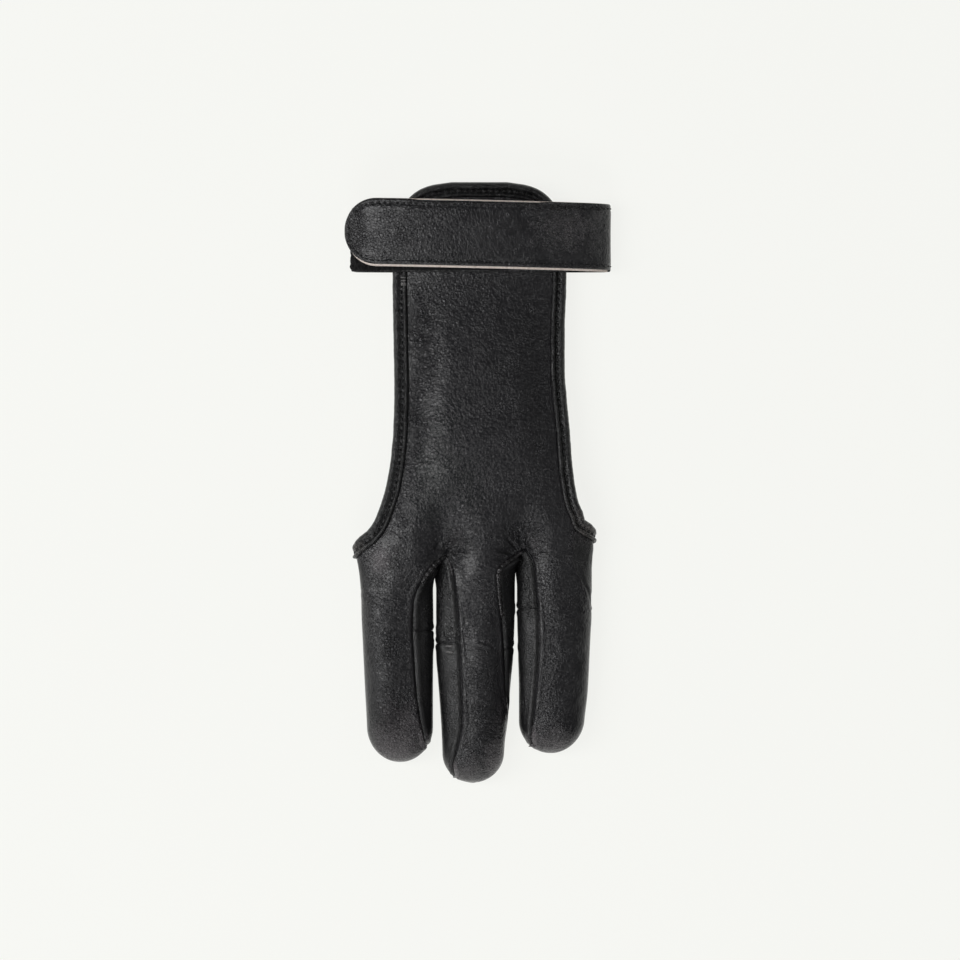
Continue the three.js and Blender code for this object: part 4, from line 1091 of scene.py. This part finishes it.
def back_rows(finger):
    """Places along a finger's part of the back, closer together over the rounded tip"""
    right, left = RIGHT_CORNER * HAND_LENGTH, LEFT_CORNER * HAND_LENGTH
    turn = TAB_TURN * HAND_LENGTH
    hand = joined(
        (HAND_LENGTH, turn, 16),
        (turn, right, 110),
        (right, RIGHT_CROTCH, 30),
        (RIGHT_CROTCH, left, 4),
        (left, 0.0, 4),
    )
    cap_start = -0.86 * finger["length"]
    along = np.linspace(0, cap_start, round(-cap_start / 0.72))
    t = np.linspace(0, 1, 30)
    tip = cap_start - (1 - (1 - t) ** 2) * (finger["length"] + cap_start)
    return np.concatenate([hand, along[1:], tip[1:]])


def dressed(points, triangles, relief, soft):
    """Moves the points of a sheet out by its relief, and by its soft forms where they face up"""
    normals = facing(points, triangles)
    return points + normals * (relief + soft * smooth(normals[:, 2] * 1.6 - 0.3))[:, None]


def finger_forms(points):
    """The soft uneven form of worn leather over the fingers and the hand"""
    x, y = points[:, 0], points[:, 1]
    soft = 0.08 * swell(points, 10.0, 4) + 0.03 * swell(points, 4.2, 5)
    on_fingers = smooth(-y / 12)
    ridge = 0
    for name, middle, lean, high in (
        ("ring", -31.0, 0.02, 1.0), ("middle", 3.6, 0.03, 1.3), ("index", 31.6, 0.0, 0.35)
    ):
        before_tip = smooth((y + FINGERS[name]["length"] - 1) / 14)
        ridge = ridge + high * bell(x - middle - lean * y, 5.5) * before_tip
    calmer = 1 - 0.3 * smooth((y - 12) / 10)
    shoulders = smooth((x + 21) / 12) * smooth((25 - x) / 10)
    shoulders = shoulders * smooth((y - 20) / 25) * smooth((101 - y) / 34)
    return soft * mix(0.75, 1.0, on_fingers) * calmer + ridge * on_fingers + 1.5 * shoulders


shares = lobe_shares(44)
sheet, faces = weld(
    [back_point(finger, back_rows(finger)[:, None], shares[None, :]) for finger in FINGERS.values()]
)
inside_tab = smooth((HAND_LENGTH - sheet[:, 1]) / 3)
relief = (seam_relief(sheet, 0.12) + crease_relief(sheet)) * inside_tab
sheet = dressed(sheet, faces, relief, finger_forms(sheet) * inside_tab)
leather_piece(
    "glove_back", sheet, faces, back_finish, "back_leather",
    worn=worn_tips(sheet), creased=patchy(sheet, CREASED_SPOTS), grained=patchy(sheet, BACK_GRAIN, 0.42),
)


# Palm leather and pads


def palm_grid(finger):
    """The gussets and finger fronts, down to the cross seam"""
    columns = np.linspace(0, finger["columns"], finger["columns"] * 7 + 1)
    t = np.linspace(0, 1, 46)
    return gusset_point(finger, t[:, None] + 0 * columns[None, :], columns[None, :] + 0 * t[:, None])


def band_grid(finger, first, last, start):
    """One finger's share of the band across the palm, from the rim to the finger"""
    columns = np.linspace(first, last, (last - first) * 7 + 1)[None, :]
    columns, t = np.broadcast_arrays(columns, np.linspace(1, 0, 20)[:, None])
    points = band_point(finger, columns, (start + columns - first) / BAND_COLUMNS, t)
    if finger is MIDDLE:
        return points
    # The band's outer columns keep clear of the back leather
    outer, across = (0, 0) if finger is INDEX else (last, 1)
    own = band_point(finger, 0 * columns + outer, 0 * columns + across, t)
    y = own[..., 1]
    section = hand_section(y)
    if finger is INDEX:
        angle = moved_angle(section, angle_at_x(section, seen_seam_x(INDEX, "right", y)), -SEAM_SPACE)
    else:
        angle = moved_angle(section, PALM_RIM[0][0], SEAM_SPACE)
    near = np.maximum(0, 1 - np.abs(columns - outer))[..., None]
    return points + (hand_point(y, angle) - own) * near


def pad_grid(finger):
    columns = np.linspace(0, finger["columns"], finger["columns"] * 6 + 1)[None, :]
    columns, t = np.broadcast_arrays(columns, np.linspace(0, 1, 74)[:, None])
    start = mix(finger["pad_right"], finger["pad_left"], columns / finger["columns"])
    start = start + CROSS_SEAM_SPACE / finger["length"]
    pointed = finger["right_seam"][1][-1][0] - 0.4 / finger["length"]
    at = mix(start, pointed, 1 - (1 - t) ** 1.5)
    points = under_point(finger, -at * finger["length"], columns)
    points[-1] = finger_point(finger, np.float64(-pointed * finger["length"]), -90)
    return points


def palm_sheet(grids):
    """Leather of the palm side: one sheet with its seams and soft forms, pressed flat on the floor"""
    points, triangles = weld(grids)
    relief = seam_relief(points, 0.1) + cross_seam_relief(points)
    points = dressed(points, triangles, relief, 0.05 * swell(points, 9.0, 11))
    points[:, 2] = np.maximum(points[:, 2], ON_FLOOR)
    return points, triangles


grids = [palm_grid(finger) for finger in FINGERS.values()]
grids += [band_grid(INDEX, 0, 8, 0), band_grid(MIDDLE, 4, 8, 8), band_grid(RING, 4, 9, 12)]
sheet, faces = palm_sheet(grids)
marks = {"worn": 0.5 * worn_tips(sheet), "creased": 0.2, "grained": 0.7}
leather_piece("glove_palm", sheet, faces, palm_finish, "palm_leather", **marks)

for name, finger in FINGERS.items():
    sheet, faces = palm_sheet([pad_grid(finger)])
    near_string = 0.55 * bell(sheet[:, 1] + 0.62 * finger["length"], 9.0) * (sheet[:, 2] < 3)
    marks = {"worn": np.maximum(0.5 * worn_tips(sheet), near_string), "creased": 0.15, "grained": 0.6}
    leather_piece(f"{name}_pad", sheet, faces, pad_finish, f"{name}_tip_pad", **marks)


# Welts at the crotches, and the turned-in edges inside the seams


def smoothed_line(line, times):
    for _ in range(times):
        line = np.concatenate([line[:1], (line[:-2] + 2 * line[1:-1] + line[2:]) / 4, line[-1:]])
    return line


def rolled_edge(name, centre, radius, finish, **marks):
    """A round edge of leather along a line, with its radius at each point"""
    side, up = frame_along(centre)
    turn = -np.arange(15) * 2 * np.pi / 14
    ring = side[:, None] * np.cos(turn)[None, :, None] + up[:, None] * np.sin(turn)[None, :, None]
    points = centre[:, None] + ring * radius[:, None, None]
    ends = [np.repeat(centre[[0]], 15, 0)[None], points, np.repeat(centre[[-1]], 15, 0)[None]]
    points, triangles = weld([np.concatenate(ends)])
    piece(name, points, triangles, finish, "black_leather", sharp=80, **marks)


def turned_edges(name, line, beside):
    """The turned-in edges of the leather, which close a seam from within"""
    radius, deep = 0.8, 0.55
    out = unit(np.cross(np.gradient(line, axis=0), beside))
    centre = smoothed_line(spread_evenly(line - out * (deep + radius), 0.6), 4)
    run = np.linspace(0, 1, len(centre))
    full = radius * np.clip(np.minimum(run, 1 - run) * len(centre) * 0.4, 0.3, 1)
    rolled_edge(name, centre, full, pad_finish, worn=0.0, creased=0.0, grained=0.3)


def welt(name, seam, first, last, radius, lift, pinch):
    """A rolled edge of leather along a crotch seam, from y first to y last, drawn in by each stitch"""
    step, between_stitches = 0.25, 2.1
    line = SEAMS[seam]
    line = smoothed_line(spread_evenly(line[(line[:, 1] <= first) & (line[:, 1] >= last)], step), 12)
    run = np.linspace(0, 1, len(line))
    length = step * len(line)
    full = radius * np.sin(np.pi * np.clip(run * 0.94 + 0.03, 0, 1)) ** 0.35
    full = full * (1 - pinch * (0.5 + 0.5 * np.cos(2 * np.pi * run * length / between_stitches)) ** 2)
    centre = line + frame_along(line)[1] * (lift - radius)
    # The welt's pale marks are painted highlights along its rolled edge
    rolled_edge(name, centre, full, welt_finish, worn=0.35, creased=0.3, grained=1.0)


welt("left_crotch_welt", ("ring", "right"), 0.0, -9.5, 1.15, 1.0, 0.22)
welt("right_crotch_welt", ("middle", "right"), 1.9, -22.0, 1.2, 1.0, 0.22)
welt("middle_gusset_welt", ("middle", "left"), 0.0, -8.0, 0.6, 0.35, 0.25)

for (name, side), line in SEAMS.items():
    inner, turn = (0.03, 1) if side == "left" else (0.97, -1)
    beside = turn * (back_point(FINGERS[name], line[:, 1], inner) - line)
    turned_edges(f"{name}_{side}_seam_inside", line[:-12], beside[:-12])
for name, line in CROSS_SEAMS.items():
    finger = FINGERS[name]
    above = gusset_point(finger, np.full(160, 0.96), np.linspace(0, finger["columns"], 160))
    turned_edges(f"{name}_cross_seam_inside", line[3:-3], (above - line)[3:-3])


# Edge binding


def opening_edge():
    """The opening's edge, evenly spaced, as rows of y, angle and the share of the legs' length"""
    turn = TAB_TURN * HAND_LENGTH
    left_y = joined((LEFT_CORNER * HAND_LENGTH, 8.0, 60), (8.0, turn, 200), (turn, HAND_LENGTH, 60))
    left = np.stack([left_y, 180 - panel_edge_angle("left", left_y)], 1)
    right_y = joined((HAND_LENGTH, turn, 60), (turn, RIGHT_CORNER * HAND_LENGTH, 200))
    right = np.stack([right_y, panel_edge_angle("right", right_y)], 1)
    tab_angle = np.linspace(left[-1, 1], right[0, 1], 42)[1:-1]
    tab = np.stack([np.full(40, HAND_LENGTH), tab_angle], 1)
    rim_angle = mix(RIM_RIGHT, PALM_RIM[0][0], np.linspace(0, 1, 202)[1:-1])
    rim = np.stack([rim_y(rim_angle), rim_angle], 1)
    corner = [[left[0, 0], left[0, 1] - 360]]
    places = np.concatenate([left, tab, right, rim, corner])
    points = hand_point(places[:, 0], places[:, 1])
    rows = spread_evenly(np.concatenate([points, places], 1), 0.75)[:-1]
    y, angle = rows[:, 3], rows[:, 4]
    side = np.clip((np.minimum(angle, 180 - angle) + 40) / 55, 0, 1)
    return y, angle, mix(PALM_LEGS, 1, smooth(side))


edge_y, edge_angle, edge_legs = opening_edge()
edge = hand_point(edge_y, edge_angle)
edge_up = hand_normal(edge_y, edge_angle)
tangent = np.roll(edge, -1, 0) - np.roll(edge, 1, 0)
for _ in range(2):
    tangent = (np.roll(tangent, 1, 0) + 2 * tangent + np.roll(tangent, -1, 0)) / 4
edge_out = unit(-np.cross(tangent, edge_up))
edge_run = np.concatenate([[0], np.cumsum(np.linalg.norm(np.diff(edge, axis=0), axis=1))])
EDGE_TURNS = round(edge_run[-1] / STITCH_PITCH)

# The binding's profile: reach from the edge, and height over the leather's outer face
BINDING_TOP = [(4.15, 0.2), (4.2, 0.5), (4.05, 0.85), (3.75, 1.12), (3.4, 1.25), (3.05, 1.12),
               (2.75, 0.85), (2.4, 0.62), (2.0, 0.55), (1.6, 0.72), (1.2, 1.12), (0.75, 1.4), (0.3, 1.45)]
BINDING_ROLL = [(0.15, 1.34), (0.62, 1.06), (1.0, 0.62), (1.22, 0.08), (1.28, -0.6), (1.2, -1.25),
                (0.95, -1.8), (0.55, -2.22), (0.1, -2.45)]
BINDING_UNDER = [(0.4, -2.5), (0.9, -2.46), (1.4, -2.3), (1.8, -2.18), (2.2, -2.3), (2.7, -2.44),
                 (3.1, -2.3), (3.2, -1.95), (3.15, -1.62)]
BINDING_INSIDE = [(1.5, -1.62), (0.0, -1.6), (-0.4, -1.45), (-0.42, -0.6), (-0.4, 0.25), (0.0, 0.4),
                  (2.0, 0.42)]
TOP_GROOVE = 8
UNDER_GROOVE = len(BINDING_TOP) + len(BINDING_ROLL) + 3


def binding_ring(reach, height, outwards):
    """One corner of the binding's profile, all along the edge; its reach is inwards or outwards"""
    if outwards or reach <= 0:
        return edge + edge_out * (reach if outwards else -reach) + edge_up * height
    y, angle = place_near(edge - edge_out * (reach * edge_legs)[:, None], edge_y, edge_angle)
    return hand_point(y, angle) + hand_normal(y, angle) * height


pull = np.cos(2 * np.pi * EDGE_TURNS * edge_run / edge_run[-1])
rings = []
for rows in (BINDING_TOP, BINDING_ROLL, BINDING_UNDER, BINDING_INSIDE):
    for reach, height in rows:
        loose = 0.05 * pull * (rows in (BINDING_TOP, BINDING_ROLL)) * bell(reach - 0.6, 1.4)
        rings.append(binding_ring(reach, (height + loose)[:, None], rows is BINDING_ROLL))
rings = np.stack(rings, 1)
rings += (0.07 * swell(rings.reshape(-1, 3), 5.0, 21)).reshape(rings.shape[:2])[..., None] * edge_up[:, None]
around = np.concatenate([rings, rings[:, :1]], 1)
points, faces = weld([np.concatenate([around, around[:1]])])
marks = {"worn": patchy(points, BINDING_WORN) + 0.12, "creased": 0.0, "grained": 0.7}
piece("edge_binding", points, faces, binding_finish, "edge_binding", ["opening_binding"], 60, **marks)


# Wrist strap


def strap_section(left_fold, top):
    """A run of the strap between its folds, seen along the hand"""
    return Section((left_fold + RIGHT_FOLD) / 2, (RIGHT_FOLD - left_fold) / 2, FOLD_HEIGHT, top, 0.0)


LOOP = strap_section(LEFT_FOLD, INNER_TOP)
FLAP = strap_section(FLAP_SPREAD, FLAP_TOP)


def strap_line():
    """The strap's outer face along its length: x, z, place along the hand, and 1 where it is the flap"""
    start = float(angle_at_x(LOOP, np.float64(STRAP_START)))
    end = float(angle_at_x(FLAP, np.float64(FLAP_END)))
    x0, z0 = on_section(LOOP, np.linspace(start, 270, 500)[:-1])
    x1, z1 = on_section(FLAP, np.linspace(270, 360, 300)[:-1])
    x2, z2 = on_section(FLAP, np.linspace(360, 360 + end, 500))
    # The run under the wrist passes from the loop's left half to the flap's right half on the floor
    x, z = np.concatenate([x0, x1, x2]), np.concatenate([z0, z1, z2])
    over = np.concatenate([np.zeros(len(x0) + len(x1)), np.ones(len(x2))])
    flapped = over * (RIGHT_FOLD - x) / (RIGHT_FOLD - FLAP_END)
    z = np.where(z < STRAP_FLAT, z * smooth(z / STRAP_FLAT), z)
    rows = np.stack([x, z, STRAP_PLACE + FLAP_RISE * flapped, over], 1)
    order = np.concatenate([[True], np.hypot(np.diff(x), np.diff(z)) > 1e-4])
    return spread_evenly(rows[order], 0.9)


strap = strap_line()
strap_step = np.hypot(np.diff(strap[:, 0]), np.diff(strap[:, 1]))
strap_run = np.concatenate([[0], np.cumsum(strap_step)])
ahead = np.gradient(strap[:, [0, 1]], axis=0)
strap_up = unit(np.stack([ahead[:, 1], 0 * ahead[:, 0], -ahead[:, 0]], 1))


def rounded_end(run):
    """Half the strap's width at a distance from its rounded end"""
    radius = STRAP_WIDTH / 2
    into = np.clip(run, 0.0, radius)
    return np.sqrt(radius * radius - (radius - into) ** 2)


def end_rows():
    """The strap's rows, with more of them over the rounded end: to the end, the row, and the way up"""
    extra = strap_run[-1] - np.array([0.0, 0.05, 0.15, 0.3, 0.5, 0.75, 1.05, 1.5, 2.0, 2.6, 3.3, 4.1])
    places = np.unique(np.concatenate([strap_run, extra]))
    columns = np.concatenate([strap, strap_up], 1).T
    rows = np.stack([np.interp(places, strap_run, column) for column in columns], 1)
    return strap_run[-1] - places, rows[:, :4], unit(rows[:, 4:7])


def strap_layer(depth, thickness, narrow_front, narrow_back, rolled, pressed):
    """The two faces of one leather of the strap, with rounded edges"""
    to_end, rows, up = end_rows()
    half = rounded_end(to_end)
    u = np.linspace(-1, 1, STRAP_COLUMNS)
    u = mix(u, np.sin(u * np.pi / 2), 0.7)
    full = half / (STRAP_WIDTH / 2)
    front = -half + narrow_front(rows) * full
    back = half - narrow_back(rows) * full
    y = mix(front[:, None], back[:, None], (u[None] + 1) / 2)
    from_edge = np.minimum(y - front[:, None], back[:, None] - y)
    from_edge = np.minimum(from_edge, to_end[:, None])
    drop = rolled * np.exp(-from_edge / 0.45) + pressed * bell(from_edge - STITCH_INSET, 0.5)
    x = rows[:, :1] + 0 * y
    top = put(x, rows[:, 2:3] + y, rows[:, 1:2] + 0 * y)
    wave = 0.05 * swell(top.reshape(-1, 3), 12.0, 31).reshape(y.shape) * smooth(from_edge / 4)
    top = top + up[:, None] * (wave - drop - depth)[..., None]
    flat = thickness - 0.6 * rolled * np.exp(-from_edge / 0.45) + wave
    under = top - up[:, None] * np.maximum(flat - drop, 0.3)[..., None]
    return rows, top, under


def closed_band(top, under):
    """A closed body from the two faces of a band"""
    ring = np.concatenate([top, under[:, ::-1], top[:, :1]], 1)
    first, last = (np.stack([top[row], under[row]]) for row in (0, -1))
    return weld([ring[:, ::-1], first[::-1], last])


def lies_over(rows):
    """1 on the run over the top of the wrist, 0 elsewhere"""
    return smooth((rows[:, 3] - 0.3) / 0.4)


def outer_front(rows):
    return RAW_EDGE * lies_over(rows) + 0.1


def tucked(rows):
    """The strap's inner run is cut back at the left fold, so that the flap hides its corner"""
    return 3.6 * smooth((-39.5 - rows[:, 0]) / 5) * (1 - lies_over(rows))


def outer_back(rows):
    over_tab = smooth((26 - np.abs(rows[:, 0] - 1.0)) / 5)
    return 0.1 + 0.45 * lies_over(rows) * over_tab + tucked(rows)


def no_inset(rows):
    return 0 * rows[:, 0]


_, top, under = strap_layer(0, STRAP_OUTER, outer_front, outer_back, 0.45, 0.32)
points, faces = closed_band(top, under)
near_fold = bell(points[:, 0] - 47.5, 4.0) + 0.6 * bell(points[:, 0] + 44.0, 5.0)
marks = {
    # A little wear all over, and a painted sheen patch on the strap's right part
    "worn": 0.12 + patchy(points, STRAP_WORN),
    "creased": 0.2 * near_fold,
    "grained": patchy(points, STRAP_GRAIN, 0.4),
}
piece("strap_outer", points, faces, strap_finish, "black_leather", ["wrist_strap"], **marks)

rows, top, under = strap_layer(STRAP_OUTER + 0.06, STRAP_LINING, no_inset, tucked, 0.12, 0.0)
points, faces = closed_band(top, under)
edge_share = np.zeros(len(points))
for layer in (top, under):
    for column in (0, -1):
        distance, _ = away_from(points, layer[lies_over(rows) > 0.5, column], 3.0)
        edge_share = np.maximum(edge_share, (distance < 0.7).astype(float))
piece("strap_lining", points, faces, lining, "backing_leather", ["strap_backing"], 60, raw=edge_share)


# Fastener under the flap


def fastener_sheet():
    """The brushed loops on the strap's inner run, with an uneven nap and a ragged front edge"""
    right_end, left_angle = 12.0, 172.0
    angle = np.linspace(float(angle_at_x(LOOP, np.float64(right_end))), left_angle, 130)
    x, z = on_section(LOOP, angle)
    x1, z1 = on_section(LOOP, angle + 0.5)
    up = -unit(np.stack([z - z1, 0 * x, x1 - x], 1))
    half = STRAP_WIDTH / 2 - 0.35
    shift = 3.8 * smooth((-36.0 - x) / 6)
    y = STRAP_PLACE + mix(-half, half - shift[:, None], np.linspace(0, 1, 56)[None])
    base = put(x[:, None], y, z[:, None] + 0 * y)
    top = base + up[:, None] * 1.15
    nap = swell(top.reshape(-1, 3), 1.6, 41).reshape(top.shape[:2])
    edge = np.exp(-(half - np.abs(y - STRAP_PLACE)) / 0.7)
    top = top + up[:, None] * (0.14 * nap - 0.45 * edge)[..., None]
    top[..., 1] += 0.15 * nap * edge * np.sign(y - STRAP_PLACE)
    return top, base + up[:, None] * 0.28


points, faces = closed_band(*fastener_sheet())
piece("strap_fastener", points, faces, loops, "fastener_fabric", ["fastener_tape"])


# Stitches


def stitches(name, starts, ends, ups, radius=0.2, rise=0.12, finish=thread):
    """Sewing stitches from starts to ends, each a short thread with its ends pulled into the leather"""
    share = np.array([0.0, 0.1, 0.3, 0.5, 0.7, 0.9, 1.0])
    thick = np.array([0.5, 0.85, 1.0, 1.05, 1.0, 0.85, 0.5]) * radius
    height = np.array([-0.816, -0.06, 0.6, 1.0, 0.6, -0.06, -0.816]) * rise
    run = ends - starts
    side = unit(np.cross(unit(run), ups))
    turn = np.arange(7) * 2 * np.pi / 7
    centre = starts[:, None] + run[:, None] * share[None, :, None]
    centre = centre + ups[:, None] * height[None, :, None]
    ring = side[:, None] * np.cos(turn)[None, :, None] + ups[:, None] * np.sin(turn)[None, :, None]
    points = centre[:, :, None] + ring[:, None] * thick[None, :, None, None]
    count, long, wide = points.shape[:3]
    number = np.arange(long * wide).reshape(long, wide)
    after = np.roll(number, -1, 1)
    a, b, c, d = number[:-1], after[:-1], after[1:], number[1:]
    first, last = number[0], number[-1]
    faces = np.concatenate([
        np.stack([a, b, c], -1).reshape(-1, 3),
        np.stack([a, c, d], -1).reshape(-1, 3),
        np.stack([np.full(wide - 2, first[0]), first[2:], first[1:-1]], 1),
        np.stack([np.full(wide - 2, last[0]), last[1:-1], last[2:]], 1),
    ])
    everything = (faces[None] + (np.arange(count) * long * wide)[:, None, None]).reshape(-1, 3)
    piece(name, points.reshape(-1, 3), everything, finish, "fastener_fabric", sharp=80)


def sewn_along(line, ups, length=0.74, closed=False):
    """Starts, ends and ups of the stitches along a line"""
    rows = spread_evenly(np.concatenate([line, ups], 1), STITCH_PITCH, closed)
    after = np.roll(rows, -1, 0) if closed else rows[1:]
    rows = rows if closed else rows[:-1]
    gap = (1 - length) / 2
    a, b = rows[:, :3], after[:, :3]
    return mix(a, b, gap), mix(a, b, 1 - gap), unit(rows[:, 3:])


def strap_seam():
    """The seam round the strap's outer leather, up one edge, round the end and down the other"""
    to_end, rows, up = end_rows()
    keep = to_end >= STITCH_INSET
    to_end, rows, up = to_end[keep], rows[keep], up[keep]
    inset = STRAP_WIDTH / 2 - STITCH_INSET
    into = np.clip(to_end - STITCH_INSET, 0, inset)
    reach = np.sqrt(np.maximum(inset**2 - (inset - into) ** 2, 0))
    front = put(rows[:, 0], rows[:, 2], rows[:, 1])
    back = front.copy()
    front[:, 1] -= reach - 0.25 * (into >= inset)
    back[:, 1] += reach
    ups = np.concatenate([up, up[::-1]])
    return np.concatenate([front, back[::-1]]) - ups * 0.26, ups


def on_finger(finger, x, y):
    """A point on a finger's form seen from above, and the way up from it"""
    x, y = np.asarray(x, float), np.asarray(y, float)
    angle = angle_at_x(finger_section(finger, y), x)
    before, after = (finger_point(finger, y, angle + turn) for turn in (-2, 2))
    up = np.cross(after - before, [0.0, 1.0, 0.0])
    return finger_point(finger, y, angle), unit(up * np.sign(up[..., 2:]))


# Along the binding, in the grooves pressed by the seam
sewn = sewn_along(rings[:, TOP_GROOVE] + 0.06 * edge_up, edge_up, 0.66, True)
stitches("binding_stitches", *sewn, radius=0.34, rise=0.2)
stitches("binding_stitches_under", *sewn_along(rings[:, UNDER_GROOVE], -edge_up, closed=True))

# The tacks that hold the start of the binding, and the end of the middle finger's cross seam
tacked = [np.argmin(np.hypot(edge[:, 0] + 28.5, edge[:, 1] - y)) for y in (97.4, 98.3, 99.2, 100.1)]
tack_up = edge_up[tacked]
tack_start, tack_end = rings[tacked, TOP_GROOVE] + 0.35 * tack_up, rings[tacked, 2] + 0.4 * tack_up
stitches("binding_tack", tack_start, tack_end, tack_up, 0.26, 0.5, tack_thread)
tack_y = np.array([-32.2, -34.4])
tack_start, tack_up = on_finger(MIDDLE, [-10.6, -10.4], tack_y)
tack_end, _ = on_finger(MIDDLE, [-7.8, -7.7], tack_y)
lift = 0.55 * tack_up
stitches("cross_seam_tack", tack_start + lift, tack_end + lift, tack_up, 0.34, 0.4, tack_thread)

stitches("strap_stitches", *sewn_along(*strap_seam(), 0.64), radius=0.33, rise=0.22)


# Floor, light and camera


def floor():
    mesh = bpy.data.meshes.new("floor")
    mesh.from_pydata([(-3, -3, 0), (3, -3, 0), (3, 3, 0), (-3, 3, 0)], [], [(0, 1, 2, 3)])
    material, tree, sockets = new_material("pale floor")
    tone = noise(tree, millimetres(tree), 0.01, 2.0)
    base = blended(tree, tone, (0.120, 0.122, 0.116), (0.130, 0.132, 0.126))
    tree.links.new(base, sockets["Base Color"])
    sockets["Roughness"].default_value = 0.9
    sockets["Specular IOR Level"].default_value = 0.1
    sockets["Emission Color"].default_value = (0.99, 0.995, 0.96, 1)
    sockets["Emission Strength"].default_value = 0.846
    mesh.materials.append(material)
    made = bpy.data.objects.new("floor", mesh)
    bpy.context.collection.objects.link(made)
    made.location.z = -0.0002


def area_light(name, place, size, energy):
    """A softbox that faces the middle of the frame"""
    light = bpy.data.lights.new(name, "AREA")
    light.shape = "RECTANGLE"
    light.size, light.size_y = size
    light.energy = energy
    made = bpy.data.objects.new(name, light)
    bpy.context.collection.objects.link(made)
    made.location = place
    made.rotation_euler = (-Vector(place)).to_track_quat("-Z", "Y").to_euler()


floor()
area_light("softbox_left", (-0.95, 0.05, 1.35), (0.62, 1.2), 11.3)
area_light("softbox_right", (0.92, 0.06, 1.3), (0.3, 1.0), 1.3)
area_light("softbox_tips", (-0.35, -1.2, 1.05), (1.0, 0.5), 7.0)
area_light("low_left", (-1.6, 0.1, 0.5), (0.4, 1.6), 3.0)

world = bpy.data.worlds.new("studio")
bpy.context.scene.world = world
world.use_nodes = True
world.node_tree.nodes["Background"].inputs[0].default_value = (1.0, 1.0, 0.99, 1)
world.node_tree.nodes["Background"].inputs[1].default_value = 0.11

SENSOR_WIDTH = 36
CAMERA_DISTANCE = 2.2
SEEN_WIDTH = 0.3456
camera = bpy.data.cameras.new("camera")
camera.sensor_width = SENSOR_WIDTH
camera.lens = SENSOR_WIDTH / (SEEN_WIDTH / CAMERA_DISTANCE)
camera.clip_end = 50
camera_object = bpy.data.objects.new("camera", camera)
bpy.context.collection.objects.link(camera_object)
camera_object.location = (0.00087, 0.00100, 0.008 + CAMERA_DISTANCE)
bpy.context.scene.camera = camera_object
bpy.context.scene.view_settings.view_transform = "Standard"
